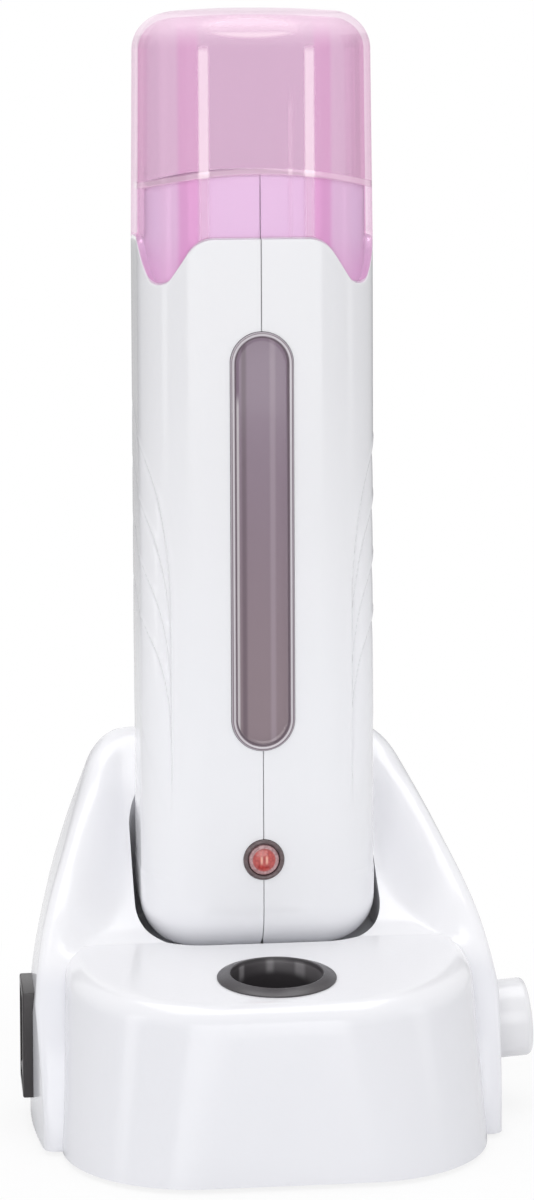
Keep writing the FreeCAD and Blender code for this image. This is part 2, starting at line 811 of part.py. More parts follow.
def rear_form(inset):
    """Rear part of the base: where plan, front view and side view agree."""
    plan = rear_plan(inset)
    plan.translate(Vector(0, 0, -S.foot_height))
    upright = plan.extrude(Vector(0, 0, S.arm_top + 2 * S.foot_height))
    return upright.common(front_profile(inset)).common(side_profile(inset))


def block_outline(inset, height):
    """Outline of the drafted front block at a height."""
    half = S.block_half - inset - height * math.tan(math.radians(S.block_side_draft_deg))
    front = S.block_front - inset - height * math.tan(math.radians(S.block_front_draft_deg))
    corner = S.block_corner - inset
    back = -S.deck_back - S.base_wall
    corners = [(half, back, 0), (-half, back, 0), (-half, -front, corner), (half, -front, corner)]
    return rounded_outline(corners, lambda a, b: Vector(a, b, height))


def block_form(inset, edge_round):
    """Front block under the sloping deck, inset from its surface."""
    low = -S.foot_height
    high = S.deck_height + 4
    solid = Part.makeLoft([block_outline(inset, low), block_outline(inset, high)], True, True)
    far = 2 * S.block_front
    slab_points = [Vector(-far, -far, deck_z(-far) - inset), Vector(-far, far, deck_z(far) - inset),
                   Vector(-far, far, 2 * far), Vector(-far, -far, 2 * far)]
    above = Part.Face(Part.makePolygon(slab_points + slab_points[:1])).extrude(Vector(2 * far, 0, 0))
    solid = solid.cut(above)
    if edge_round > 0:
        deck_faces = [face for face in solid.Faces if face.normalAt(0, 0).z > 0.9]
        back = -S.deck_back - S.base_wall
        rim = [edge for edge in deck_faces[0].Edges if edge.CenterOfMass.y < back - 1]
        solid = solid.makeFillet(edge_round, rim)
    return solid


def base_form(inset, block_round=0.0):
    """Whole outer form of the base, inset from its surface."""
    return rear_form(inset).fuse(block_form(inset, block_round))


def pocket(outset, low):
    """Upright space of the heater in the dock, grown by outset."""
    grow = S.pocket_gap + outset
    return column(S.heater_width + 2 * grow, S.heater_depth + 2 * grow, S.heater_corner + grow,
                  low, S.arm_top + 4)


def foot_spots():
    return [(side * S.foot_x, y) for y in (-S.foot_front_y, S.foot_rear_y) for side in (-1, 1)]


def boss_spots():
    """Centre of each screw boss and how high it reaches."""
    front_top = deck_z(-S.boss_front_y) - S.base_wall / 2
    front = [(side * S.boss_front_x, -S.boss_front_y, front_top) for side in (-1, 1)]
    rear = [(side * S.boss_rear_x, S.boss_rear_y, S.boss_rear_top) for side in (-1, 1)]
    return front + rear


def plate_top():
    return S.foot_height + S.plate_thick


def well_axis():
    """Direction of the tool well: square to the sloping deck."""
    slope = math.radians(S.deck_slope_deg)
    return Vector(0, -math.sin(slope), math.cos(slope))


def well_mouth():
    return Vector(0, -S.well_y, deck_z(-S.well_y))


def knob_axis():
    tilt = math.radians(S.knob_tilt_deg)
    return Vector(math.cos(tilt), 0, math.sin(tilt))


def knob_seat():
    return Vector(S.knob_x, -S.knob_y, S.knob_z)


def rod_along(start, axis, radius, first, last):
    """Cylinder on an axis between two distances from its start."""
    return Part.makeCylinder(radius, last - first, start + axis * first, axis)


def base_openings():
    """Everything that passes through the housing's walls."""
    gap = S.snug_gap
    width = S.switch_width / 2 + gap
    height = S.switch_height / 2 + gap
    body_width = S.switch_body_width / 2 + gap
    body_height = S.switch_body_height / 2 + gap
    far = 2 * S.flank_half
    deep = S.flank_half / 2
    inlet = S.inlet_width / 2 + gap
    return [
        block_between((-far, -S.switch_y - width, S.switch_z - height),
                      (-S.switch_seat, -S.switch_y + width, S.switch_z + height)),
        block_between((-far, -S.switch_y - body_width, S.switch_z - body_height),
                      (-S.switch_back, -S.switch_y + body_width, S.switch_z + body_height)),
        rod_along(knob_seat(), knob_axis(), S.bush_radius + gap, -deep, deep),
        rod_along(knob_seat(), knob_axis(), S.regulator_radius + gap, -deep, -S.regulator_face),
        rod_along(knob_seat(), knob_axis(), S.knob_hollow_radius, -S.nut_seat, deep),
        rod_along(well_mouth(), well_axis(), S.well_radius + S.well_wall + gap, -2 * S.base_wall, deep),
        block_between((-inlet, S.base_rear / 2, plate_top() - gap),
                      (inlet, 2 * S.base_rear, plate_top() + S.inlet_height + gap)),
        block_between((-S.socket_width / 2, -S.socket_depth / 2, S.seat_height - 2 * S.base_wall),
                      (S.socket_width / 2, S.socket_depth / 2, S.seat_height + 1)),
    ]


def make_base_housing():
    """Upper shell of the base with the dock pocket, screw bosses and openings."""
    wall = S.base_wall
    outer = base_form(0, S.block_edge_round).cut(pocket(0, S.seat_height))
    outer = outer.makeFillet(S.pocket_edge_round, pocket_rim(outer))
    hollow = base_form(wall).cut(pocket(wall, S.seat_height - wall))
    under = block_between((-3 * S.flank_half, -3 * S.flank_half, -S.arm_top),
                          (3 * S.flank_half, 3 * S.flank_half, S.foot_height))
    body = outer.cut(under).cut(hollow)
    bosses = []
    for x, y, top in boss_spots():
        spot = Vector(x, y, plate_top())
        bosses.append(Part.makeCylinder(S.boss_radius, top - plate_top(), spot))
    body = body.fuse(bosses[0].multiFuse(bosses[1:]))
    tools = base_openings()
    thread_radius = S.screw_radius + S.snug_gap / 2
    for x, y, top in boss_spots():
        tools.append(Part.makeCylinder(thread_radius, plate_top() + S.screw_length + 1, Vector(x, y, 0)))
    feature("base_housing", body.cut(tools[0].multiFuse(tools[1:])))


def make_base_bottom_plate():
    """Floor plate that fills the housing's open underside, with board standoffs."""
    slab = block_between((-2 * S.flank_half, -2 * S.flank_half, S.foot_height),
                         (2 * S.flank_half, 2 * S.flank_half, plate_top()))
    body = base_form(S.base_wall + S.snug_gap).common(slab)
    for x in (-S.standoff_x, S.standoff_x):
        for y in (S.board_y - S.standoff_y, S.board_y + S.standoff_y):
            spot = Vector(x, y, plate_top())
            body = body.fuse(Part.makeCylinder(S.standoff_radius, S.standoff_height, spot))
    tools = []
    recess_top = S.foot_height + S.foot_sunk
    for x, y in foot_spots():
        tools.append(Part.makeCylinder(S.foot_radius + S.snug_gap, recess_top, Vector(x, y, 0)))
    head_seat = plate_top() - S.screw_head_thick + S.snug_gap
    for x, y, top in boss_spots():
        spot = Vector(x, y, 0)
        tools.append(Part.makeCylinder(S.screw_radius + S.seat_gap, 2 * plate_top(), spot))
        tools.append(Part.makeCylinder(S.screw_head + S.seat_gap, head_seat, spot))
    feature("base_bottom_plate", body.cut(tools[0].multiFuse(tools[1:])))


def make_feet_and_screws():
    """Rubber feet in the plate's recesses, and the screws from below."""
    feet = []
    places = (("-foot_x", "-foot_front_y"), ("foot_x", "-foot_front_y"), ("-foot_x", "foot_rear_y"),
              ("foot_x", "foot_rear_y"))
    for number, (x, y) in enumerate(places, start=1):
        feet.append(rod("foot_%d" % number, (x, y, "0"), "foot_radius", "foot_height + foot_sunk"))
    grouped("rubber_feet", feet)
    head_seat = "foot_height + plate_thick - screw_head_thick + snug_gap"
    screws = []
    places = (("-boss_front_x", "-boss_front_y"), ("boss_front_x", "-boss_front_y"),
              ("-boss_rear_x", "boss_rear_y"), ("boss_rear_x", "boss_rear_y"))
    for number, (x, y) in enumerate(places, start=1):
        screw = turned("base_screw_%d" % number, (
            ("0", "-screw_head_thick"), ("screw_head", "-screw_head_thick"), ("screw_head", "0"),
            ("screw_radius", "0"), ("screw_radius", "screw_length"), ("0", "screw_length")))
        screws.append(place(screw, x, y, head_seat))
    grouped("base_screws", screws)


def make_tool_well_liner():
    """Black cup with a flange that lies on the sloping deck."""
    cup_outer = "well_radius + well_wall"
    cup = turned("well_cup", (
        ("0", "-well_depth - well_wall"), (cup_outer, "-well_depth - well_wall"), (cup_outer, "0"),
        ("well_flange", "0"), ("well_flange", "well_flange_thick / 2"),
        ("well_flange - well_flange_thick / 2", "well_flange_thick"),
        ("well_radius + well_flange_thick / 4", "well_flange_thick"),
        ("well_radius", "well_flange_thick / 2"), ("well_radius", "-well_depth"), ("0", "-well_depth")))
    cup.Label = "tool_well_liner"
    slope = math.radians(S.deck_slope_deg)
    cup.Placement = FreeCAD.Placement(well_mouth(), FreeCAD.Rotation(X_AXIS, math.degrees(slope)))
    bind(cup, Placement__Base__y="-well_y",
         Placement__Base__z="deck_height + (deck_back - well_y) * tan(deck_slope_deg)",
         Placement__Rotation__Angle="deck_slope_deg")


# ---------------------------------------------------------------- switch and knob

def make_switch():
    """Guard frame with its body, the rocker on two stub pins, and the terminals."""
    frame = box("switch_frame",
                ("-switch_face", "-switch_y - switch_width / 2", "switch_z - switch_height / 2"),
                ("switch_face - switch_seat", "switch_width", "switch_height"))
    shell = box("switch_shell", ("-switch_seat", "-switch_y - switch_body_width / 2",
                                 "switch_z - switch_body_height / 2"),
                ("switch_seat - switch_back", "switch_body_width", "switch_body_height"))
    mouth = box("switch_mouth", ("-switch_face - 1", "-switch_y - switch_open_width / 2",
                                 "switch_z - switch_open_height / 2"),
                ("switch_face + 1 - switch_open_floor", "switch_open_width", "switch_open_height"))
    pin_span = "(rocker_width + 2 * rocker_pin_length + 2 * snug_gap)"
    pivot_hole = rod("switch_pivot_hole", ("-rocker_pivot", "-switch_y - %s / 2" % pin_span, "switch_z"),
                     "rocker_pin_radius + turn_gap", pin_span, Y_AXIS)
    carved("switch_housing", fused("switch_block", [frame, shell]), [mouth, pivot_hole])

    blades = []
    for number, step in enumerate(("-1", "0", "1"), start=1):
        blades.append(box("switch_blade_%d" % number,
                          ("-switch_back", "-switch_y - blade_width / 2",
                           "switch_z - blade_thick / 2 + blade_pitch * " + step),
                          ("blade_length", "blade_width", "blade_thick")))
    grouped("switch_terminals", blades)

    # local axes: sketch X is outwards from the pivot, sketch Y is up
    rocker = plate("rocker_body", (
        ("-rocker_inner", "-rocker_inner_half"), ("rocker_high", "-rocker_half"), ("rocker_low", "0"),
        ("rocker_high", "rocker_half"), ("-rocker_inner", "rocker_inner_half")), "rocker_width")
    outwards_up = FreeCAD.Rotation(Vector(-1, 0, 0), Vector(0, 0, 1), Vector(0, 1, 0), "ZXY")
    place(rocker, "0", "-rocker_width / 2", "0", outwards_up)
    pins = rod("rocker_pins", ("0", "-rocker_width / 2 - rocker_pin_length", "0"), "rocker_pin_radius",
               "rocker_width + 2 * rocker_pin_length", Y_AXIS)
    whole = fused("switch_rocker", [rocker, pins])
    place(whole, "-rocker_pivot", "-switch_y", "switch_z", FreeCAD.Rotation(Y_AXIS, -S.rocker_tilt_deg))
    bind(whole, Placement__Rotation__Angle="rocker_tilt_deg")


def on_knob_axis(item):
    """Put a turned piece on the knob's tilted axis, its zero at the flank."""
    item.Placement = FreeCAD.Placement(knob_seat(), FreeCAD.Rotation(Y_AXIS, 90 - S.knob_tilt_deg))
    bind(item, Placement__Base__x="knob_x", Placement__Base__y="-knob_y", Placement__Base__z="knob_z",
         Placement__Rotation__Angle="90 - knob_tilt_deg")
    return item


def make_knob():
    """Knob, shaft, regulator with its bush, and the nut outside the flank."""
    knob_bore = "shaft_radius + snug_gap / 2"
    rim = "(knob_end - knob_foot) / 8"
    on_knob_axis(turned("temperature_knob", (
        ("knob_hollow_radius", "knob_foot"), ("knob_radius", "knob_foot"),
        ("knob_radius", "knob_end - " + rim), ("knob_radius - " + rim, "knob_end"), ("0", "knob_end"),
        ("0", "shaft_end + snug_gap"), (knob_bore, "shaft_end + snug_gap"), (knob_bore, "knob_hollow_end"),
        ("knob_hollow_radius", "knob_hollow_end"))))
    on_knob_axis(turned("potentiometer_shaft", (
        ("0", "-shaft_start"), ("shaft_radius", "-shaft_start"), ("shaft_radius", "shaft_end"),
        ("0", "shaft_end"))))
    bush_bore = "shaft_radius + turn_gap"
    regulator_back = "-regulator_face - regulator_thick"
    bore_end = "-shaft_start - snug_gap"
    on_knob_axis(turned("potentiometer_body", (
        ("0", regulator_back), ("regulator_radius", regulator_back), ("regulator_radius", "-regulator_face"),
        ("bush_radius", "-regulator_face"), ("bush_radius", "bush_end"), (bush_bore, "bush_end"),
        (bush_bore, bore_end), ("0", bore_end))))
    across = "nut_flats / 2 / cos(30) * cos(%d)"
    up = "nut_flats / 2 / cos(30) * sin(%d)"
    corners = [(across % angle, up % angle) for angle in range(0, 360, 60)]
    hexagon = plate("nut_hexagon", corners, "nut_thick")
    hole = rod("nut_hole", ("0", "0", "-1"), "bush_radius + snug_gap / 2", "nut_thick + 2")
    nut = carved("potentiometer_nut", hexagon, [hole])
    tilt = math.radians(S.knob_tilt_deg)
    nut.Placement = FreeCAD.Placement(knob_seat() - knob_axis() * S.nut_seat,
                                      FreeCAD.Rotation(Y_AXIS, 90 - S.knob_tilt_deg))
    bind(nut, Placement__Base__x="knob_x - nut_seat * cos(knob_tilt_deg)", Placement__Base__y="-knob_y",
         Placement__Base__z="knob_z - nut_seat * sin(knob_tilt_deg)",
         Placement__Rotation__Angle="90 - knob_tilt_deg")


# ---------------------------------------------------------------- inside the base

BOARD_TOP = "foot_height + plate_thick + standoff_height + board_thick"


def make_board():
    """Circuit board on the standoffs, with its three larger components."""
    box("control_board", ("-board_width / 2", "board_y - board_depth / 2", BOARD_TOP + " - board_thick"),
        ("board_width", "board_depth", "board_thick"))
    wide = "(board_width / 2 - component_edge - socket_width / 2 - component_gap)"
    left = "-board_width / 2 + component_edge"
    box("board_capacitor", (left, "board_y + capacitor_depth / 2", BOARD_TOP),
        (wide, "capacitor_depth", "capacitor_height"))
    box("board_relay", ("socket_width / 2 + component_gap", "board_y - relay_depth / 2", BOARD_TOP),
        (wide, "relay_depth", "relay_height"))
    triac_y = "board_y - capacitor_depth / 2 - 2 * triac_depth"
    body = box("triac_body", (left, triac_y, BOARD_TOP), ("triac_width", "triac_depth", "triac_height"))
    tab_y = triac_y + " + triac_depth - triac_tab_thick"
    tab = box("triac_tab", (left, tab_y, BOARD_TOP + " + triac_height"),
              ("triac_width", "triac_tab_thick", "triac_tab_height"))
    fused("board_triac", [body, tab])


def make_dock_contacts():
    """Tower that stands on the board and reaches into the heater's foot, with two brass sleeves."""
    gap = "seat_gap"
    wide = "(socket_width - 2 * %s)" % gap
    deep = "(socket_depth - 2 * %s)" % gap
    tower = box("tower_column", ("-%s / 2" % wide, "-%s / 2" % deep, BOARD_TOP),
                (wide, deep, "seat_height + tower_reach - (%s)" % BOARD_TOP))
    flange_corner = ("-socket_width / 2 - tower_flange", "-socket_depth / 2 - tower_flange",
                     "seat_height - base_wall - tower_flange")
    flange = box("tower_flange_plate", flange_corner,
                 ("socket_width + 2 * tower_flange", "socket_depth + 2 * tower_flange", "tower_flange"))
    holes = []
    sleeves = []
    for number, sign in enumerate(("-", ""), start=1):
        low = "seat_height + tower_reach - sleeve_length"
        holes.append(rod("tower_hole_%d" % number, (sign + "pin_spread", "0", low),
                         "sleeve_outer + snug_gap / 2", "sleeve_length + 1"))
        outer = rod("contact_outer_%d" % number, (sign + "pin_spread", "0", low), "sleeve_outer",
                    "sleeve_length - 1")
        inner = rod("contact_inner_%d" % number, (sign + "pin_spread", "0", low + " + 1"),
                    "pin_radius + cap_neck_gap", "sleeve_length")
        sleeves.append(carved("contact_sleeve_%d" % number, outer, [inner]))
    carved("dock_contact_block", fused("tower", [tower, flange]), holes)
    grouped("dock_contact_sleeves", sleeves)


def make_mains_inlet():
    """Two-pin inlet that rests on the floor plate and looks out of the back wall."""
    block = box("inlet_block", ("-inlet_width / 2", "base_rear - inlet_length", "foot_height + plate_thick"),
                ("inlet_width", "inlet_length", "inlet_height"))
    middle = "foot_height + plate_thick + inlet_height / 2"
    mouth = "base_rear - inlet_cavity_depth"
    cavity = [box("inlet_cavity", ("-inlet_cavity_spread", mouth, middle + " - inlet_cavity_radius"),
                  ("2 * inlet_cavity_spread", "inlet_cavity_depth + 1", "2 * inlet_cavity_radius"))]
    pins = []
    for number, sign in enumerate(("-", ""), start=1):
        side = sign + "inlet_cavity_spread"
        cavity.append(rod("inlet_lobe_%d" % number, (side, mouth, middle), "inlet_cavity_radius",
                          "inlet_cavity_depth + 1", Y_AXIS))
        cavity.append(rod("inlet_pin_hole_%d" % number, (side, "base_rear - inlet_length - 1", middle),
                          "inlet_pin_radius + snug_gap / 2", "inlet_length", Y_AXIS))
        pins.append(rod("inlet_pin_%d" % number, (side, "base_rear - inlet_length - inlet_tail", middle),
                        "inlet_pin_radius", "inlet_length", Y_AXIS))
    carved("mains_inlet", block, cavity)
    grouped("mains_inlet_pins", pins)


def lead(points, bend):
    """Insulated wire: straight runs joined by tangent arcs, swept by a round section."""
    path = []
    start = points[0]
    for index in range(1, len(points) - 1):
        corner = points[index]
        back = (points[index - 1] - corner).normalize()
        ahead = (points[index + 1] - corner).normalize()
        half = back.getAngle(ahead) / 2
        reach = bend / math.tan(half)
        middle = corner + (back + ahead).normalize() * (bend / math.sin(half) - bend)
        path.append(Part.LineSegment(start, corner + back * reach).toShape())
        path.append(Part.Arc(corner + back * reach, middle, corner + ahead * reach).toShape())
        start = corner + ahead * reach
    path.append(Part.LineSegment(start, points[-1]).toShape())
    direction = points[1] - points[0]
    ring = Part.Wire(Part.Circle(points[0], direction, S.lead_radius).toShape())
    return Part.Wire(path).makePipeShell([ring], True, False)


def make_base_wires():
    """Leads from the inlet's pins: one round the board to the switch, one down onto the board."""
    level = plate_top() + S.inlet_height / 2
    tail = S.base_rear - S.inlet_length - S.inlet_tail
    turn = tail - 1.5 * S.lead_bend
    board_top = plate_top() + S.standoff_height + S.board_thick
    pin = S.inlet_cavity_spread
    outside = -S.board_width / 2 + S.lead_bend
    blade_end = -S.switch_back + S.blade_length
    blade_z = S.switch_z + S.blade_pitch
    to_switch = lead([
        Vector(-pin, tail, level), Vector(-pin, turn, level), Vector(-pin, turn, blade_z),
        Vector(outside, turn, blade_z), Vector(outside, -S.switch_y, blade_z),
        Vector(blade_end, -S.switch_y, blade_z)], S.lead_bend)
    landing = turn - 4 * S.lead_bend
    to_board = lead([
        Vector(pin, tail, level), Vector(pin, turn, level), Vector(pin, turn, board_top + S.lead_hop),
        Vector(pin, landing, board_top + S.lead_hop), Vector(pin, landing, board_top)], S.lead_bend)
    feature("base_wires", Part.makeCompound([to_switch, to_board]))


# ---------------------------------------------------------------- inside the heater

CHAMBER_FRONT = "(-heater_depth / 2 + shell_wall + lens_lip_thick + sleeve_front_gap + sleeve_wall)"
CHAMBER_BACK = "(heater_depth / 2 - chamber_back_room)"
CHAMBER_WIDTH = "(heater_width - 2 * chamber_side_room)"
CHAMBER_DEPTH = "(%s - %s)" % (CHAMBER_BACK, CHAMBER_FRONT)
CHAMBER_Y = "((%s + %s) / 2)" % (CHAMBER_BACK, CHAMBER_FRONT)
SLEEVE_BACK = "(%s + sleeve_wall)" % CHAMBER_BACK


def make_chamber():
    """Aluminium sleeve on its floor, and the guide collar in the neck."""
    inner = (CHAMBER_WIDTH, CHAMBER_DEPTH, "chamber_corner")
    outer = (CHAMBER_WIDTH + " + 2 * sleeve_wall", CHAMBER_DEPTH + " + 2 * sleeve_wall",
             "chamber_corner + sleeve_wall")
    tube = rounded_tube("sleeve_tube", outer, inner, "sleeve_top - chamber_bottom")
    place(tube, "0", CHAMBER_Y, "chamber_bottom")
    slot = box("sleeve_window", ("-sleeve_slot / 2", "-heater_depth / 2", "window_bottom + window_rim"),
               ("sleeve_slot", "heater_depth / 2", "window_top - window_bottom - 2 * window_rim"))
    carved("heating_sleeve", tube, [slot])

    clear = "2 * (shell_wall + snug_gap)"
    deck = rounded_tube("floor_plate", ("heater_width - " + clear, "heater_depth - " + clear,
                                        "heater_corner - shell_wall - snug_gap"), None, "floor_thick")
    place(deck, "0", "0", "chamber_bottom - floor_thick")
    notch = box("floor_wire_notch", ("-floor_notch / 2", SLEEVE_BACK, "chamber_bottom - floor_thick - 1"),
                ("floor_notch", "heater_depth", "floor_thick + 2"))
    carved("chamber_floor", deck, [notch])

    inset = "(cap_wall + cap_neck_gap + neck_wall + snug_gap)"
    ring = rounded_tube("collar_ring", ("heater_width - 2 * " + inset, "heater_depth - 2 * " + inset,
                                        "heater_corner - " + inset), None, "collar_top - sleeve_top")
    place(ring, "0", "0", "sleeve_top")
    bore = rounded_tube("collar_bore", inner, None, "collar_top - sleeve_top + 2")
    place(bore, "0", CHAMBER_Y, "sleeve_top - 1")
    carved("chamber_collar", ring, [bore])


def make_heating_parts():
    """Flat element pressed on the sleeve by a steel channel, with thermostat and fuse."""
    element = box("heating_element", ("-element_width / 2", SLEEVE_BACK, "element_bottom"),
                  ("element_width", "element_thick", "element_height"))
    element.Label = "heating_element"
    low = "element_bottom + (element_height - clamp_height) / 2"
    channel_size = ("element_width + 2 * (snug_gap + clamp_sheet)", "element_thick + clamp_sheet",
                    "clamp_height")
    channel = box("clamp_channel", ("-element_width / 2 - snug_gap - clamp_sheet", SLEEVE_BACK, low),
                  channel_size)
    gap = box("clamp_gap", ("-element_width / 2 - snug_gap", SLEEVE_BACK + " - 1", low + " - 1"),
              ("element_width + 2 * snug_gap", "element_thick + 1", "clamp_height + 2"))
    carved("element_clamp", channel, [gap])
    rod("thermostat", ("0", SLEEVE_BACK, "thermostat_height"), "thermostat_radius", "thermostat_thick",
        Y_AXIS)
    rod("thermal_fuse", ("-fuse_length / 2", SLEEVE_BACK + " + fuse_radius", "fuse_height"), "fuse_radius",
        "fuse_length", X_AXIS)


def make_pilot_lamp():
    """Dark ring, red lens and the neon lamp behind it, on the axis of the lamp's hole."""
    outwards = FreeCAD.Rotation(X_AXIS, 90)
    front = "-heater_depth / 2"
    bore = "bezel_radius - bezel_wall"
    wall = "shell_wall"
    bezel = turned("pilot_lamp_bezel", (
        (bore, "-%s - bezel_lip" % wall), ("bezel_radius + bezel_lip", "-%s - bezel_lip" % wall),
        ("bezel_radius + bezel_lip", "-" + wall), ("bezel_radius", "-" + wall),
        ("bezel_radius", "bezel_proud / 2"), ("bezel_radius - bezel_proud / 2", "bezel_proud"),
        (bore, "bezel_proud")))
    place(bezel, "0", front, "lamp_height", outwards)
    lens_radius = bore + " - snug_gap"
    lens = turned("pilot_lamp_lens", (
        ("0", "lamp_lens_proud - lamp_lens_length"), (lens_radius, "lamp_lens_proud - lamp_lens_length"),
        (lens_radius, "lamp_lens_proud / 2"), (lens_radius + " - lamp_lens_proud / 2", "lamp_lens_proud"),
        ("0", "lamp_lens_proud")))
    place(lens, "0", front, "lamp_height", outwards)
    rod("pilot_lamp", ("0", front + " + lamp_lens_length - lamp_lens_proud", "lamp_height"), "lamp_radius",
        "lamp_length", Y_AXIS)


def make_heater_inlet():
    """Socket block in the foot with two pins that look down."""
    bottom = "seat_height + shell_wall"
    block = box("socket_block",
                ("-socket_width / 2 - socket_wall", "-socket_depth / 2 - socket_wall", bottom),
                ("socket_width + 2 * socket_wall", "socket_depth + 2 * socket_wall",
                 "socket_height + socket_roof"))
    hollow = box("socket_hollow", ("-socket_width / 2", "-socket_depth / 2", bottom + " - 1"),
                 ("socket_width", "socket_depth", "socket_height + 1"))
    holes = []
    pins = []
    for number, sign in enumerate(("-", ""), start=1):
        side = sign + "pin_spread"
        holes.append(rod("socket_pin_hole_%d" % number, (side, "0", bottom), "pin_radius + snug_gap / 2",
                         "socket_height + socket_roof + 1"))
        pins.append(rod("socket_pin_%d" % number, (side, "0", bottom + " + 2"), "pin_radius",
                        "socket_height + socket_roof + pin_tail - 2"))
    carved("heater_inlet", block, [hollow] + holes)
    grouped("heater_inlet_pins", pins)


def make_heater_wires():
    """Leads from the socket's pins up behind the chamber to the fuse and the element."""
    tail = S.seat_height + S.shell_wall + S.socket_height + S.socket_roof + S.pin_tail
    back = worked_out(SLEEVE_BACK) + S.fuse_radius
    leads = []
    fuse_x = S.fuse_length / 2 + S.lead_radius
    for side, top in ((-1, S.fuse_height), (1, S.element_bottom)):
        foot = Vector(side * S.pin_spread, 0, tail)
        leads.append(lead([
            foot, Vector(foot.x, 0, tail + S.heater_lead_start),
            Vector(side * fuse_x, back, tail + S.heater_lead_climb),
            Vector(side * fuse_x, back, top)], S.heater_lead_bend))
    feature("heater_wires", Part.makeCompound(leads))


# ---------------------------------------------------------------- document and files

NODES = (
    "base_housing", "base_bottom_plate", "rubber_feet", "base_screws", "tool_well_liner",
    "switch_housing", "switch_rocker", "switch_terminals",
    "temperature_knob", "potentiometer_shaft", "potentiometer_body", "potentiometer_nut",
    "control_board", "board_capacitor", "board_relay", "board_triac",
    "dock_contact_block", "dock_contact_sleeves", "mains_inlet", "mains_inlet_pins", "base_wires",
    "left_shell", "right_shell", "shell_screws", "window_lens",
    "heating_sleeve", "chamber_floor", "chamber_collar",
    "heating_element", "element_clamp", "thermostat", "thermal_fuse",
    "pilot_lamp_bezel", "pilot_lamp_lens", "pilot_lamp",
    "heater_inlet", "heater_inlet_pins", "heater_wires", "cap",
)


def check(item):
    """Stop if an object failed to compute or holds no sound shape."""
    if "Invalid" in item.State or "Error" in item.State:
        raise RuntimeError("%s: %s" % (item.Label, item.State))
    shape = getattr(item, "Shape", None)
    if shape is not None and item.Label in NODES and (shape.isNull() or not shape.isValid()):
        raise RuntimeError("%s has no sound shape" % item.Label)


def main():
    make_base_housing()
    make_base_bottom_plate()
    make_feet_and_screws()
    make_tool_well_liner()
    make_switch()
    make_knob()
    make_board()
    make_dock_contacts()
    make_mains_inlet()
    make_base_wires()
    make_half_shells()
    make_shell_screws()
    make_window_lens()
    make_chamber()
    make_heating_parts()
    make_pilot_lamp()
    make_heater_inlet()
    make_heater_wires()
    make_cap()
    doc.recompute()
    for item in doc.Objects:
        check(item)
    os.makedirs("parts", exist_ok=True)
    for name in NODES:
        item = doc.getObjectsByLabel(name)[0]
        item.Shape.exportStep("parts/%s.step" % name)
        print("%-22s %2d solids %10.1f mm3" % (name, len(item.Shape.Solids), item.Shape.Volume))


main()
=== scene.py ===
"""Looks of the roll on wax heater: finishes for every piece, and the pieces that are shaped here.

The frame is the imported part's: +X to the right seen from the front, +Y to the back, +Z up.
Shapes are worked out in millimetres; finishes, floor, lamps and camera are in metres.
"""
import math

import bmesh
import bpy
from mathutils import Matrix, Vector


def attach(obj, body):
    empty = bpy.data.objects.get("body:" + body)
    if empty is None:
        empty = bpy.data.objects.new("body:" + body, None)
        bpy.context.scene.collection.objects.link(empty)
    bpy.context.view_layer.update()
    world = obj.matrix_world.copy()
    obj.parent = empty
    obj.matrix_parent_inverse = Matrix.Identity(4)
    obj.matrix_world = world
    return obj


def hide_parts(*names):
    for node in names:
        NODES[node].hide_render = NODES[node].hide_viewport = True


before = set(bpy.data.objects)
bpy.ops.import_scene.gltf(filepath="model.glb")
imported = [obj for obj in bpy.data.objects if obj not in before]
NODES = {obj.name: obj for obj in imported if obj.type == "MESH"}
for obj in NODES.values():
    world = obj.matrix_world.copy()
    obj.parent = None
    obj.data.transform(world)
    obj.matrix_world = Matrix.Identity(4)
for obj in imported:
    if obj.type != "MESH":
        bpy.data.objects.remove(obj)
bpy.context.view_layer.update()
MM = 0.001

BODY_HALF_X, BODY_HALF_Y, BODY_CORNER = 27.7, 23.0, 14.5
WINDOW_MIDDLE, WINDOW_STRAIGHT, WINDOW_RADIUS = 135.05, 41.3, 7.35
LAMP_HEIGHT = 60.8
WELL_Y, WELL_RADIUS = -48.4, 10.25


# ---------------------------------------------------------------- finishes

FINISHES = {}


class Value:
    """What a node gives; sums and products of it become Math nodes."""

    def __init__(self, finish, socket):
        self.finish = finish
        self.socket = socket

    def __add__(self, other):
        return self.finish.maths("ADD", self, other)

    def __sub__(self, other):
        return self.finish.maths("SUBTRACT", self, other)

    def __mul__(self, other):
        return self.finish.maths("MULTIPLY", self, other)

    def __truediv__(self, other):
        return self.finish.maths("DIVIDE", self, other)

    __radd__ = __add__
    __rmul__ = __mul__


